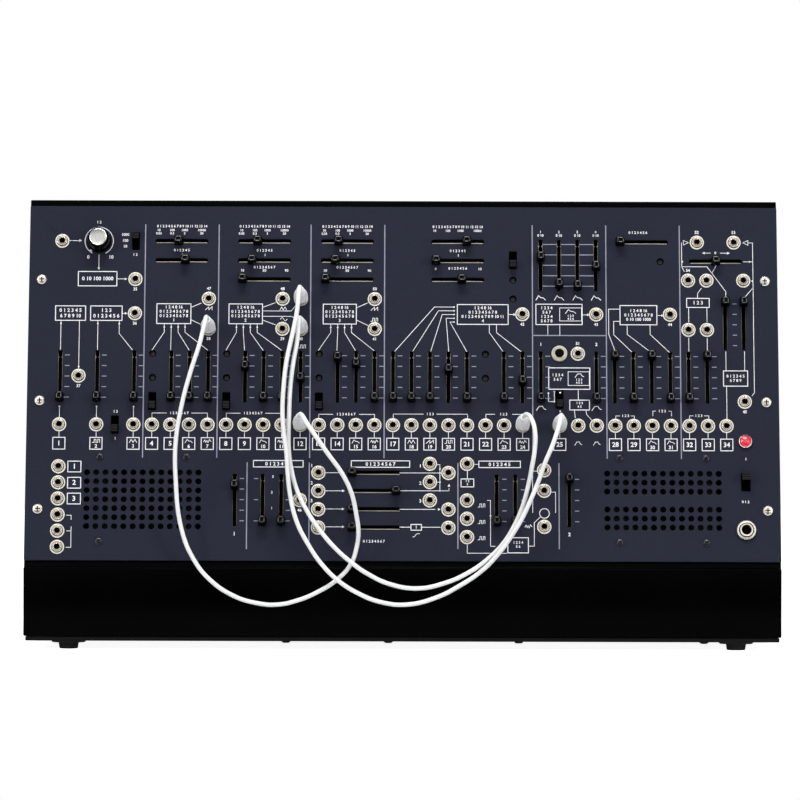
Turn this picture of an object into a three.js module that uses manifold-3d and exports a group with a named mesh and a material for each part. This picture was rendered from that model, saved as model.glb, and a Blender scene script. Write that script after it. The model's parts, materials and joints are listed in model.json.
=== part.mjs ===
// A table-top modular synthesizer: a folded steel case with a leaning front panel full of slide
// potentiometers and patch sockets, two small speakers, and three patch cords plugged in.
// Millimetres, +Z up, +X to the right of the front, -Y towards the player.
import * as THREE from "three";
import { mergeVertices } from "three/addons/utils/BufferGeometryUtils.js";
import Module from "manifold-3d";

const wasm = await Module();
wasm.setup();

// Case
const caseWidth = 516;
const caseDepth = 131;
const caseHeight = 308;
const wall = 1.5;
const plinthTop = 55.9;
const lean = THREE.MathUtils.degToRad(12);
const footHeight = 6.4;
const footRadius = 7;
const footTaper = 0.8;
const footInset = 30;
const footInsetDepth = 15;
const basePlate = 2.3;
const baseInset = 1.2;
const seatGap = 0.3;
const overcut = 2;

// Front panel: it stands a little above the plinth and ends a little below the top
const panelThickness = 2;
const panelRise = 4.6;
const panelReveal = 4.23;
const panelLedge = 3.2;
const panelFootZ = plinthTop + panelRise;
const panelLength = (caseHeight - panelFootZ - panelReveal) / Math.cos(lean);
const flangeWidth = 12;
const flangeFoot = panelLength * 0.032;

// Control grid: even columns across the panel, and rows as shares of its length
const columnsAcross = 40.63;
const middleColumn = 18.543;
const lastColumn = 37;
const columnPitch = caseWidth / columnsAcross;
const rowPitch = panelLength * 0.0511;
const rowTop = panelLength * 0.9002;
const rowSecond = panelLength * 0.8455;
const rowThird = panelLength * 0.7916;
const rowUpperOutput = panelLength * 0.7365;
const rowMiddleOutput = panelLength * 0.6943;
const rowLowerOutput = panelLength * 0.6513;
const rowGate = panelLength * 0.583;
const rowUpperTrimmer = panelLength * 0.581;
const rowLowerTrimmer = panelLength * 0.513;
const rowPatch = panelLength * 0.38;
const rowAttenuators = panelLength * 0.5162;
const rowEnvelope = panelLength * 0.8342;
const rowReverb = panelLength * 0.6686;
const rowLower = panelLength * 0.1693;
const rowFollowerOutput = panelLength * 0.517;
const rowReverbOutput = panelLength * 0.4483;
const rowSwitches = panelLength * 0.4463;
const rowGateSwitch = panelLength * 0.4531;
const rowFilterSwitch = panelLength * 0.8483;
const rowFilterTrimmer = panelLength * 0.7382;
const rowLamp = panelLength * 0.3361;
const rowMainSwitch = panelLength * 0.2227;
const rowPhones = panelLength * 0.088;
const multipleTop = panelLength * 0.2621;
const multiplePitch = panelLength * 0.045;
const processorTop = panelLength * 0.2461;
const electronicTop = panelLength * 0.2545;
const electronicMiddle = panelLength * 0.197;
const electronicLow = panelLength * 0.0965;

// Slide potentiometers
const slideTravel = 30;
const slotLength = 36.5;
const slotWidth = 3.3;
const canLength = 45;
const canWidth = 7;
const canHeight = 6.5;
const canSlotDepth = 5;
const canSlotWidth = 2.4;
const stemWidth = 1.2;
const stemLength = 4;
const stemDip = 4;
const capGap = 0.7;
const capHeight = 6.7;
const capBase = 5.6;
const capTopAcross = 3;
const capTopAlong = 4.2;

// Patch sockets
const nutRadius = 5;
const nutTopRadius = 3.7;
const nutHeight = 2.3;
const boreRadius = 2.15;

// Board behind the panel
const boardDrop = 15.4;
const boardThickness = 1.6;
const boardInset = 15;
const boardFoot = 6;
const boardTopInset = 8.7;
const postRadius = 3;

// Speakers and grilles
const speakerX = caseWidth * 0.3446;
const speakerSide = panelLength * 0.2734;
const speakerNotch = speakerSide + 5;
const speakerFlange = 1.5;
const coneRadius = speakerSide * 0.44;
const coneDepth = speakerSide * 0.18;
const dustCapRadius = speakerSide * 0.13;
const magnetRadius = speakerSide * 0.3;
const magnetDepth = 9;
const basketDepth = 20;
const grilleColumns = 13;
const grilleRows = 7;
const grillePitchX = speakerSide * 0.0934;
const grillePitchV = speakerSide * 0.0919;
const grilleHoleRadius = speakerSide * 0.0316;
const rowGrille = panelLength * 0.1705;

// Knob, lamp, button, switches and headphone socket
const knobRadius = 8.5;
const knobTopRadius = 6.6;
const knobHeight = 12.5;
const knobDiscHeight = 0.8;
const shaftRadius = 3;
const shaftHoleRadius = 3.6;
const shaftDip = 6;
const potSide = 16;
const potHeight = 9;
const lampRadius = 4.65;
const lampStemRadius = 3.4;
const lampHeight = 3.4;
const buttonRadius = 2.6;
const buttonHoleRadius = 3.1;
const buttonRingRadius = 5.5;
const buttonRingHeight = 2.4;
const buttonProud = 1.2;
const buttonTravel = 0.8;
const windowWidth = 5.4;
const windowLength = 12.6;
const leverWidth = 4.6;
const leverLength = 5;
const leverProud = 5.5;
const leverTravel = 6.6;
const leverDip = 3.5;
const switchBodyHeight = 8;
const powerWindowWidth = 6.4;
const powerLeverWidth = 5.8;
const powerLeverLength = 5.8;
const powerLeverProud = 7;
const phonesNutRadius = 6.85;
const phonesNutHeight = 3;
const phonesNeckRadius = 4.7;
const phonesBoreRadius = 3.6;
const phonesBody = 15;
const phonesBodyDepth = 11;
const phonesBoreDepth = 12;
const trimmerRadius = 2.5;

// Rear of the case
const ventSlots = 8;
const ventWidth = 3;
const ventHeight = 26;
const ventPitch = 8;
const ventX = caseWidth * 0.29;
const ventZ = caseHeight * 0.747;
const socketZ = 36;
const dinX = [caseWidth * 0.2132, caseWidth * 0.2713];
const dinRadius = 7.5;
const dinCoreRadius = 6;
const dinRecess = 4;
const usbX = caseWidth * 0.3295;
const usbWidth = 12;
const usbHeight = 11;
const usbMouth = 8.4;
const usbTongueWidth = 5.6;
const usbTongueHeight = 3.2;
const powerInletX = caseWidth * 0.3876;
const inletSide = 11;
const inletBoreRadius = 3.2;
const inletPinRadius = 1;
const socketDepth = 14;
const rearBoardMargin = 12;
const rearBoardHeight = 40;

// Reverb tank
const tankLength = caseWidth * 0.455;
const tankDepth = 60;
const tankHeight = 30;
const tankLip = 8;
const tankLipHeight = 2;
const tankY = caseDepth * -0.06;

// Patch cords and plugs
const cordDiameter = 3;
const cordSides = 8;
const cordSteps = 27;
const plugPinRadius = 1.7;
const plugPinLength = 11;
const plugPinTip = 2;
const plugBodyLength = 26;
const plugShoulderRadius = 4.3;
const plugWidestRadius = 4.9;
const plugWidestAt = 4;
const plugNeckRadius = 2.5;

// Facets on round shapes
const nutSides = 6;
const grilleSides = 6;
const roundSides = 12;
const cordEndGap = 0.35;

const paint = (color, roughness, metalness) =>
  new THREE.MeshStandardMaterial({ color, roughness, metalness });
const slatePaint = paint(0x34364a, 0.6, 0.1);
const glossBlack = paint(0x060606, 0.18, 0);
const blackPlastic = paint(0x0c0c0e, 0.45, 0);
const rubberBlack = paint(0x141414, 0.9, 0);
const boardGreen = paint(0x1c3a2a, 0.6, 0);
const steel = paint(0xb9b4a4, 0.35, 0.9);
const redJewel = paint(0xd0202c, 0.15, 0);
const whitePlastic = paint(0xf2f2ee, 0.5, 0);
const paperBlack = paint(0x1a1a1a, 0.8, 0);

// A closed three.js geometry as a solid that can be joined and cut.
function solid(geometry, x = 0, y = 0, z = 0) {
  const bare = geometry.clone().translate(x, y, z);
  bare.deleteAttribute("normal");
  bare.deleteAttribute("uv");
  const merged = mergeVertices(bare);
  return new wasm.Manifold(
    new wasm.Mesh({
      numProp: 3,
      vertProperties: merged.attributes.position.array,
      triVerts: new Uint32Array(merged.index.array),
    }),
  );
}

const join = (solids) => wasm.Manifold.union(solids);

// A solid as a named mesh.
function mesh(name, body, material) {
  const { vertProperties, triVerts } = body.getMesh();
  const geometry = new THREE.BufferGeometry();
  geometry.setAttribute("position", new THREE.BufferAttribute(vertProperties, 3));
  geometry.setIndex(new THREE.BufferAttribute(triVerts, 1));
  geometry.computeVertexNormals();
  const made = new THREE.Mesh(geometry, material);
  made.name = name;
  return made;
}

// A box that stands on z, centred on x and y.
const block = (width, depth, height, x, y, z) =>
  solid(new THREE.BoxGeometry(width, depth, height), x, y, z + height / 2);

// A round or many-sided post along z, from z upwards, with its corners at the given radii.
function post(radius, height, sides, x, y, z, topRadius = radius) {
  const shape = new THREE.CylinderGeometry(topRadius, radius, height, sides);
  shape.rotateX(Math.PI / 2);
  return solid(shape, x, y, z + height / 2);
}

// A block that tapers from one rectangle to another, standing on z.
function taperedBlock(width, depth, topWidth, topDepth, height, x, y, z) {
  const shape = new THREE.BoxGeometry(1, 1, 1);
  const points = shape.attributes.position;
  for (let i = 0; i < points.count; i += 1) {
    const top = points.getZ(i) > 0;
    points.setX(i, points.getX(i) * (top ? topWidth : width));
    points.setY(i, points.getY(i) * (top ? topDepth : depth));
    points.setZ(i, points.getZ(i) * height);
  }
  return solid(shape, x, y, z + height / 2);
}

// A turned solid about the z axis, from [radius, z] points.
function turned(profile, sides, x = 0, y = 0, z = 0) {
  const shape = new THREE.LatheGeometry(
    profile.map(([radius, height]) => new THREE.Vector2(radius, height)),
    sides,
  );
  shape.rotateX(Math.PI / 2);
  return solid(shape, x, y, z);
}

// A flat plate from its outline, from z = 0 upwards.
function plate(outline, thickness) {
  const shape = new THREE.Shape(outline.map(([x, y]) => new THREE.Vector2(x, y)));
  return new THREE.ExtrudeGeometry(shape, { depth: thickness, bevelEnabled: false });
}

// The panel frame: x across, y up the slope from the panel's lower edge, z out of its face.
const columnX = (column) => (column - middleColumn) * columnPitch;
const processorRow = (step) => processorTop - step * rowPitch;
const panelFootY = -caseDepth / 2 + panelLedge;
const panelFrame = new THREE.Group();
panelFrame.position.set(0, panelFootY, panelFootZ);
panelFrame.rotation.x = Math.PI / 2 - lean;
const panelBack = -panelThickness;

// Slide potentiometers: name, column, row, where the lever rests as a share of half the travel,
// whether it lies across, and whether its lever is a piece of its own.
const across = true;
const upright = false;
const slideTable = [
  ["vco1_frequency", 6.5, rowTop, -0.147, across],
  ["vco1_fine_tune", 6.5, rowSecond, 0.173, across],
  ["vco2_frequency", 11, rowTop, -0.32, across],
  ["vco2_fine_tune", 11, rowSecond, -0.573, across],
  ["vco2_pulse_width", 11, rowThird, -1, across],
  ["vco3_frequency", 15.5, rowTop, -0.407, across],
  ["vco3_fine_tune", 15.5, rowSecond, -0.553, across],
  ["vco3_pulse_width", 15.5, rowThird, -1, across],
  ["filter_frequency", 21.5, rowTop, 0.413, across],
  ["filter_fine_tune", 21.5, rowSecond, -1, across],
  ["filter_resonance", 21.5, rowThird, 0.18, across],
  ["amplifier_gain", 31.5, rowTop, -1, across],
  ["pan", 35.5, rowSecond, 0, across],
  ["processor_1", 17, processorRow(0), -1, across],
  ["processor_2", 17, processorRow(1), 1, across],
  ["processor_3", 17, processorRow(2), -1, across],
  ["lag_time", 17, processorRow(3), -1, across],
  ["envelope_attack", 26, rowEnvelope, 0.353, upright],
  ["envelope_decay", 27, rowEnvelope, -0.913, upright],
  ["envelope_sustain", 28, rowEnvelope, -1, upright],
  ["envelope_release", 29, rowEnvelope, -0.08, upright],
  ["attack_time", 26, rowAttenuators, -1, upright],
  ["release_time", 29, rowAttenuators, -1, upright],
  ["reverb_left", 36, rowReverb, 1, upright],
  ["reverb_right", 37, rowReverb, 1, upright],
  ["left_speaker_level", 9.5, rowLower, 0.667, upright],
  ["noise_colour", 11, rowLower, -1, upright],
  ["noise_level", 12, rowLower, -1, upright],
  ["sample_level", 23.6, rowLower, -1, upright],
  ["clock_rate", 24.6, rowLower, -1, upright],
  ["right_speaker_level", 27.5, rowLower, 1, upright],
];

// The row of upright attenuators over the patch sockets: column and resting share.
const attenuatorTable = [
  [0, -1], [2, -1], [4, -1], [6, -1], [7, -1], [8, -1], [10, 0.453], [11, -1], [12, -1],
  [13, -0.08], [15, 0.88], [16, 0.587], [17, -1], [18, -1], [19, -1], [20, -1], [21, 0.327],
  [22, -1], [24, -1], [25, -0.2], [30, 1], [31, -1], [32, 1], [33, -1], [34, -1], [35, 1],
];

const slides = slideTable.map(([name, column, row, share, lies]) => ({
  name,
  x: columnX(column),
  v: row,
  offset: (share * slideTravel) / 2,
  lies,
}));
const attenuators = attenuatorTable.map(([column, share]) => ({
  x: columnX(column),
  v: rowAttenuators,
  offset: (share * slideTravel) / 2,
  lies: upright,
}));

// Small slide switches: name, column, row, rest as a share of half the lever's travel.
const switches = [
  ["range_switch", 4, rowTop, 1],
  ["ring_modulator_switch", 3, rowPatch, -1],
  ["vco1_range_switch", 5, rowSwitches, -1],
  ["vco2_range_switch", 9, rowSwitches, -1],
  ["vco3_range_switch", 14, rowSwitches, -1],
  ["filter_mode_switch", 24.5, rowFilterSwitch, -1],
  ["gate_switch", 27, rowGateSwitch, -1],
].map(([name, column, v, share]) => ({
  name,
  x: columnX(column),
  v,
  offset: (share * leverTravel) / 2,
  width: leverWidth,
  length: leverLength,
  proud: leverProud,
  window: windowWidth,
}));
switches.push({
  name: "power_switch",
  x: columnX(lastColumn),
  v: rowMainSwitch,
  offset: leverTravel / 2,
  width: powerLeverWidth,
  length: powerLeverLength,
  proud: powerLeverProud,
  window: powerWindowWidth,
});

// Patch sockets, as [column, row] pairs.
const range = (first, last) =>
  Array.from({ length: last - first + 1 }, (_, i) => first + i);
const patchColumns = [0, 2, 4, ...range(5, 25), ...range(27, 36)];
const jacks = [
  [0, rowTop],
  [4, rowThird],
  [4, rowMiddleOutput],
  [1, rowFollowerOutput],
  [8, rowUpperOutput],
  [8, rowLowerOutput],
  [12, rowUpperOutput],
  [12, rowLowerOutput],
  [13, rowUpperOutput],
  [13, rowLowerOutput],
  [17, rowUpperOutput],
  [17, rowLowerOutput],
  [25, rowMiddleOutput],
  [29, rowMiddleOutput],
  [28, rowGate],
  [33, rowMiddleOutput],
  [34.5, rowTop],
  [36.5, rowTop],
  [34, rowThird],
  [35, rowThird],
  [37, rowThird],
  [34, rowLowerOutput],
  [35, rowLowerOutput],
  [37, rowReverbOutput],
  [13, processorRow(1.5)],
  ...patchColumns.map((column) => [column, rowPatch]),
  ...range(0, 5).map((step) => [0, multipleTop - step * multiplePitch]),
  ...range(0, 3).map((step) => [14, processorRow(step)]),
  ...[-0.5, 0.5, 1.5].map((step) => [20, processorRow(step)]),
  ...[0, 2, 3].map((step) => [21, processorRow(step)]),
  ...[-0.5, 1.5, 2.5, 3.5].map((step) => [22, processorRow(step)]),
  ...[electronicTop, electronicMiddle, electronicLow].map((row) => [26.15, row]),
].map(([column, v]) => [columnX(column), v]);

const trimmers = [
  ...[5, 9, 14, 23].flatMap((column) => [
    [column, rowUpperTrimmer],
    [column, rowLowerTrimmer],
  ]),
  [24.5, rowThird],
  [24.5, rowFilterTrimmer],
  [32.5, rowSecond],
].map(([column, v]) => [columnX(column), v]);

// The board's posts stand where no control is.
const posts = [
  [1, rowLowerOutput],
  [6.5, rowMiddleOutput],
  [15.5, rowMiddleOutput],
  [21, rowMiddleOutput],
  [30.5, rowUpperOutput],
  [10.3, rowPhones],
  [19.2, rowPhones],
  [25.4, rowPhones],
].map(([column, v]) => [columnX(column), v]);

const knobX = columnX(2);
const lampX = columnX(lastColumn);
const phonesX = columnX(lastColumn);
const buttonX = columnX(27);

// What is cut out of the panel: a rectangle or a round opening, right through.
const throughPanel = panelThickness + overcut * 2;
const cutBox = (width, length, x, v) =>
  block(width, length, throughPanel, x, v, panelBack - overcut);
const cutRound = (radius, sides, x, v) =>
  post(radius, throughPanel, sides, x, v, panelBack - overcut);

// The right grille has no middle row: its place stays bare.
function grilleHoles(side) {
  const holes = [];
  for (const row of range(0, grilleRows - 1)) {
    const middle = row === (grilleRows - 1) / 2;
    if (side > 0 && middle) continue;
    for (const column of range(0, grilleColumns - 1)) {
      const x = side * speakerX + (column - (grilleColumns - 1) / 2) * grillePitchX;
      const v = rowGrille + (row - (grilleRows - 1) / 2) * grillePitchV;
      holes.push(cutRound(grilleHoleRadius, grilleSides, x, v));
    }
  }
  return holes;
}

function slot({ x, v, lies }) {
  const size = lies ? [slotLength, slotWidth] : [slotWidth, slotLength];
  return cutBox(...size, x, v);
}

function frontPanel() {
  const middle = panelLength / 2;
  const sheet = block(caseWidth, panelLength, panelThickness, 0, middle, panelBack);
  const sunk = panelThickness / 2;
  const nuts = jacks.map(([x, v]) =>
    post(nutRadius, sunk + nutHeight, nutSides, x, v, -sunk, nutTopRadius),
  );
  const ringHeight = sunk + buttonRingHeight;
  const ring = post(buttonRingRadius, ringHeight, roundSides, buttonX, rowGate, -sunk);
  const boreStart = panelBack - overcut;
  const boreHeight = panelThickness + nutHeight + overcut * 2;
  const openings = [
    ...grilleHoles(-1),
    ...grilleHoles(1),
    ...slides.map(slot),
    ...attenuators.map(slot),
    ...switches.map((s) => cutBox(s.window, windowLength, s.x, s.v)),
    ...trimmers.map(([x, v]) => cutRound(trimmerRadius, nutSides, x, v)),
    ...jacks.map(([x, v]) => post(boreRadius, boreHeight, nutSides, x, v, boreStart)),
    post(buttonHoleRadius, boreHeight, roundSides, buttonX, rowGate, boreStart),
    cutRound(shaftHoleRadius, roundSides, knobX, rowTop),
    cutRound(lampStemRadius + seatGap, roundSides, lampX, rowLamp),
    cutRound(phonesNeckRadius + seatGap, roundSides, phonesX, rowPhones),
  ];
  return join([sheet, ring, ...nuts]).subtract(join(openings));
}

// A slider's stem and cap, at its place on the panel.
function lever(slide, stemBottom) {
  const x = slide.x + (slide.lies ? slide.offset : 0);
  const v = slide.v + (slide.lies ? 0 : slide.offset);
  const turn = ([width, depth]) => (slide.lies ? [depth, width] : [width, depth]);
  const capTop = capGap + capHeight;
  const stem = block(
    ...turn([stemWidth, stemLength]),
    capGap + capHeight / 2 - stemBottom,
    x,
    v,
    stemBottom,
  );
  const cap = taperedBlock(
    ...turn([capBase, capBase]),
    ...turn([capTopAcross, capTopAlong]),
    capTop - capGap,
    x,
    v,
    capGap,
  );
  return stem.add(cap);
}

const canTop = -boardDrop + canHeight;

function controlBoard() {
  const boardHalfWidth = caseWidth / 2 - boardInset;
  const boardTop = panelLength - boardTopInset;
  const notch = speakerNotch / 2;
  const notchTop = rowGrille + notch;
  const outline = [
    [-boardHalfWidth, boardFoot],
    [-speakerX - notch, boardFoot],
    [-speakerX - notch, notchTop],
    [-speakerX + notch, notchTop],
    [-speakerX + notch, boardFoot],
    [speakerX - notch, boardFoot],
    [speakerX - notch, notchTop],
    [speakerX + notch, notchTop],
    [speakerX + notch, boardFoot],
    [boardHalfWidth, boardFoot],
    [boardHalfWidth, boardTop],
    [-boardHalfWidth, boardTop],
  ];
  const top = -boardDrop;
  const sunk = boardThickness / 2;
  const sheet = solid(plate(outline, boardThickness), 0, 0, top - boardThickness);
  const cans = [...slides, ...attenuators].map(({ x, v, lies }) => {
    const size = lies ? [canLength, canWidth] : [canWidth, canLength];
    return block(...size, canHeight + sunk, x, v, top - sunk);
  });
  const rootLength = slideTravel + stemLength + overcut;
  const canSlots = slides.map(({ x, v, lies }) => {
    const size = lies ? [rootLength, canSlotWidth] : [canSlotWidth, rootLength];
    return block(...size, canSlotDepth + overcut, x, v, canTop - canSlotDepth);
  });
  const fixedLevers = attenuators.map((slide) => lever(slide, canTop - sunk));
  const bodies = switches.map((s) => {
    const length = windowLength + overcut;
    return block(s.window + overcut, length, switchBodyHeight + sunk, s.x, s.v, top - sunk);
  });
  const switchTop = top + switchBodyHeight;
  const wells = switches.map((s) =>
    block(s.window, windowLength, leverDip + overcut, s.x, s.v, switchTop - leverDip),
  );
  const pot = block(potSide, potSide, potHeight + sunk, knobX, rowTop, top - sunk);
  const potBore = post(
    shaftRadius + seatGap,
    shaftDip + overcut,
    roundSides,
    knobX,
    rowTop,
    top + potHeight - shaftDip,
  );
  const buttonBody = block(
    buttonRingRadius,
    buttonRingRadius,
    canHeight + sunk,
    buttonX,
    rowGate,
    top - sunk,
  );
  const postHeight = boardDrop - panelThickness - seatGap + sunk;
  const legs = posts.map(([x, v]) =>
    post(postRadius, postHeight, nutSides, x, v, top - sunk),
  );
  const parts = [sheet, ...cans, ...fixedLevers, ...bodies, pot, buttonBody, ...legs];
  return join(parts).subtract(join([...canSlots, ...wells, potBore]));
}

// A slide switch's lever: a ribbed block above the panel on a foot that runs in the switch body.
function switchLever(s) {
  const bottom = -boardDrop + switchBodyHeight - leverDip + seatGap;
  const rib = s.length / 5;
  const y = s.v + s.offset;
  const body = block(s.width, s.length, s.proud - bottom, s.x, y, bottom);
  const grooves = [-1, 1].map((side) =>
    block(s.width + overcut, rib / 2, rib + overcut, s.x, y + side * rib, s.proud - rib),
  );
  return body.subtract(join(grooves));
}

function gainKnob() {
  const bottom = -boardDrop + potHeight - shaftDip + seatGap;
  const skirtFoot = knobDiscHeight;
  const skirtTop = knobHeight * 0.3;
  const profile = [
    [0, bottom],
    [shaftRadius, bottom],
    [shaftRadius, skirtFoot],
    [knobRadius, skirtFoot],
    [knobRadius, skirtTop],
    [knobTopRadius + knobDiscHeight, skirtTop + knobDiscHeight],
    [knobTopRadius + knobDiscHeight, knobHeight - knobDiscHeight],
    [knobTopRadius, knobHeight - knobDiscHeight],
    [knobTopRadius, knobHeight],
    [0, knobHeight],
  ];
  return turned(profile, roundSides * 2, knobX, rowTop);
}

function startButton() {
  const bottom = canTop + seatGap + buttonTravel;
  const top = buttonRingHeight + buttonProud;
  return post(buttonRadius, top - bottom, roundSides, buttonX, rowGate, bottom);
}

function powerLamp() {
  const bottom = -boardDrop + seatGap;
  const profile = [
    [0, bottom],
    [lampStemRadius, bottom],
    [lampStemRadius, seatGap],
    [lampRadius, seatGap],
    [lampRadius, lampHeight * 0.45],
    [lampRadius * 0.86, lampHeight * 0.5],
    [lampRadius * 0.6, lampHeight * 0.85],
    [0, lampHeight],
  ];
  return turned(profile, roundSides, lampX, rowLamp);
}

function phonesJack() {
  const front = seatGap + phonesNutHeight;
  const shoulder = panelBack - seatGap;
  const nut = post(phonesNutRadius, phonesNutHeight, roundSides, phonesX, rowPhones, seatGap);
  const neck = post(
    phonesNeckRadius,
    front - shoulder + seatGap,
    roundSides,
    phonesX,
    rowPhones,
    shoulder - seatGap,
  );
  const body = block(
    phonesBody,
    phonesBody,
    phonesBodyDepth,
    phonesX,
    rowPhones,
    shoulder - phonesBodyDepth,
  );
  const bore = post(
    phonesBoreRadius,
    phonesBoreDepth + overcut,
    roundSides,
    phonesX,
    rowPhones,
    front - phonesBoreDepth,
  );
  return join([nut, neck, body]).subtract(bore);
}

// A square-flanged speaker with its cone open to the grille.
function speaker(side) {
  const front = panelBack - seatGap;
  const x = side * speakerX;
  const frame = block(
    speakerSide,
    speakerSide,
    speakerFlange,
    x,
    rowGrille,
    front - speakerFlange,
  );
  const basket = turned(
    [
      [0, front - basketDepth - magnetDepth],
      [magnetRadius, front - basketDepth - magnetDepth],
      [magnetRadius, front - basketDepth],
      [coneRadius, front - speakerFlange - overcut],
      [coneRadius, front - speakerFlange / 2],
      [0, front - speakerFlange / 2],
    ],
    roundSides,
    x,
    rowGrille,
  );
  const cone = turned(
    [
      [0, front - coneDepth + overcut],
      [dustCapRadius, front - coneDepth],
      [coneRadius - overcut, front - overcut],
      [coneRadius - overcut, front + overcut],
      [0, front + overcut],
    ],
    roundSides,
    x,
    rowGrille,
  );
  return frame.add(basket).subtract(cone);
}

// The case's side outline in depth and height, drawn wall by wall; inset moves it inwards.
const sheetPlane = panelThickness + seatGap;
function slopeY(z, depthBehindPanel) {
  const up = (z - panelFootZ + depthBehindPanel * Math.sin(lean)) / Math.cos(lean);
  return panelFootY + up * Math.sin(lean) + depthBehindPanel * Math.cos(lean);
}

function sideOutline(inset, bottom, back) {
  const top = caseHeight - inset;
  const ledge = plinthTop - inset;
  return [
    [-caseDepth / 2 + inset, bottom],
    [-caseDepth / 2 + inset, ledge],
    [slopeY(ledge, sheetPlane + inset), ledge],
    [slopeY(top, sheetPlane + inset), top],
    [back, top],
    [back, bottom],
  ];
}

// A prism across the case from a side outline.
function prism(outline, width) {
  const shape = plate(outline, width);
  shape.rotateX(Math.PI / 2);
  shape.rotateZ(Math.PI / 2);
  return solid(shape, -width / 2, 0, 0);
}

const shellBottom = footHeight + basePlate + seatGap;

function cabinetShell() {
  const outer = prism(sideOutline(0, shellBottom, caseDepth / 2), caseWidth);
  const inner = prism(
    sideOutline(wall, shellBottom - overcut, caseDepth / 2 + overcut),
    caseWidth - wall * 2,
  );
  const openingLength = panelLength - flangeWidth - flangeFoot;
  const openingWidth = caseWidth - flangeWidth * 2;
  const opening = new THREE.BoxGeometry(openingWidth, openingLength, flangeWidth);
  opening.translate(0, flangeFoot + openingLength / 2, -sheetPlane);
  opening.rotateX(panelFrame.rotation.x);
  opening.translate(0, panelFootY, panelFootZ);
  return outer.subtract(inner).subtract(solid(opening));
}

// Round and square pieces that run in depth and end at a given depth, at the rear sockets' height.
function rearRound(radius, length, sides, x, end) {
  const shape = new THREE.CylinderGeometry(radius, radius, length, sides);
  return solid(shape, x, end - length / 2, socketZ);
}
const rearSquare = (width, height, length, x, end) =>
  solid(new THREE.BoxGeometry(width, length, height), x, end - length / 2, socketZ);

const rearFace = caseDepth / 2;

function baseAndRearCover() {
  const baseHalf = caseWidth / 2 - baseInset;
  const coverHalf = caseWidth / 2 - wall - seatGap;
  const base = block(
    baseHalf * 2,
    caseDepth - baseInset,
    basePlate,
    0,
    baseInset / 2,
    footHeight,
  );
  const coverFoot = footHeight + basePlate / 2;
  const coverTop = caseHeight - wall - seatGap;
  const cover = block(
    coverHalf * 2,
    wall,
    coverTop - coverFoot,
    0,
    rearFace - wall / 2,
    coverFoot,
  );
  const through = wall + overcut * 2;
  const vents = [-1, 1].flatMap((side) =>
    range(0, ventSlots - 1).map((i) => {
      const x = side * ventX + (i - (ventSlots - 1) / 2) * ventPitch;
      return block(ventWidth, through, ventHeight, x, rearFace - wall / 2, ventZ);
    }),
  );
  const cutEnd = rearFace + overcut;
  const room = seatGap * 2;
  const inletHole = inletSide + room;
  const socketHoles = [
    ...dinX.map((x) => rearRound(dinRadius + seatGap, through, roundSides, x, cutEnd)),
    rearSquare(usbWidth + room, usbHeight + room, through, usbX, cutEnd),
    rearSquare(inletHole, inletHole, through, powerInletX, cutEnd),
  ];
  const feet = [-1, 1].flatMap((side) =>
    [-1, 1].map((end) =>
      post(
        footRadius - footTaper,
        footHeight + basePlate / 2,
        roundSides,
        side * (caseWidth / 2 - footInset),
        end * (caseDepth / 2 - footInsetDepth),
        0,
        footRadius,
      ),
    ),
  );
  return join([base, cover, ...feet]).subtract(join([...vents, ...socketHoles]));
}

function rearSocketBoard() {
  const left = dinX[0] - dinRadius - rearBoardMargin;
  const right = powerInletX + inletSide / 2 + rearBoardMargin;
  const sheet = block(
    right - left,
    boardThickness,
    rearBoardHeight,
    (left + right) / 2,
    rearFace - socketDepth,
    shellBottom + seatGap,
  );
  const face = rearFace - seatGap;
  const reach = socketDepth - seatGap;
  const bodies = [
    ...dinX.map((x) => rearRound(dinRadius, reach, roundSides, x, face)),
    rearSquare(usbWidth, usbHeight, reach, usbX, face),
    rearSquare(inletSide, inletSide, reach, powerInletX, face),
  ];
  const shallow = dinRecess + overcut;
  const deep = dinRecess * 2 + overcut;
  const cut = face + overcut;
  const mouths = [
    ...dinX.map((x) => rearRound(dinCoreRadius + seatGap * 2, shallow, roundSides, x, cut)),
    rearSquare(usbMouth, usbMouth, deep, usbX, cut),
    rearRound(inletBoreRadius, deep, roundSides, powerInletX, cut),
  ];
  const recessed = face - seatGap;
  const coreLength = reach - seatGap;
  const cores = [
    ...dinX.map((x) => rearRound(dinCoreRadius, coreLength, roundSides, x, recessed)),
    rearSquare(usbTongueWidth, usbTongueHeight, coreLength, usbX, recessed),
    rearRound(inletPinRadius, coreLength, nutSides, powerInletX, recessed),
  ];
  return join([sheet, ...bodies]).subtract(join(mouths)).add(join(cores));
}

// A reverb tank: a folded channel with lips along both long sides, on the base plate.
function reverbTank() {
  const halfDepth = tankDepth / 2;
  const outline = [
    [-halfDepth - tankLip, 0],
    [halfDepth + tankLip, 0],
    [halfDepth + tankLip, tankLipHeight],
    [halfDepth, tankLipHeight],
    [halfDepth, tankHeight],
    [-halfDepth, tankHeight],
    [-halfDepth, tankLipHeight],
    [-halfDepth - tankLip, tankLipHeight],
  ];
  return prism(outline, tankLength);
}

const plugSeat = nutHeight + seatGap;

function plug() {
  return turned(
    [
      [0, -plugPinLength - plugPinTip],
      [plugPinRadius, -plugPinLength],
      [plugPinRadius, 0],
      [plugShoulderRadius, 0],
      [plugWidestRadius, plugWidestAt],
      [plugWidestRadius * 0.93, plugBodyLength * 0.42],
      [plugNeckRadius, plugBodyLength],
      [0, plugBodyLength],
    ],
    cordSides,
  );
}

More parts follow.
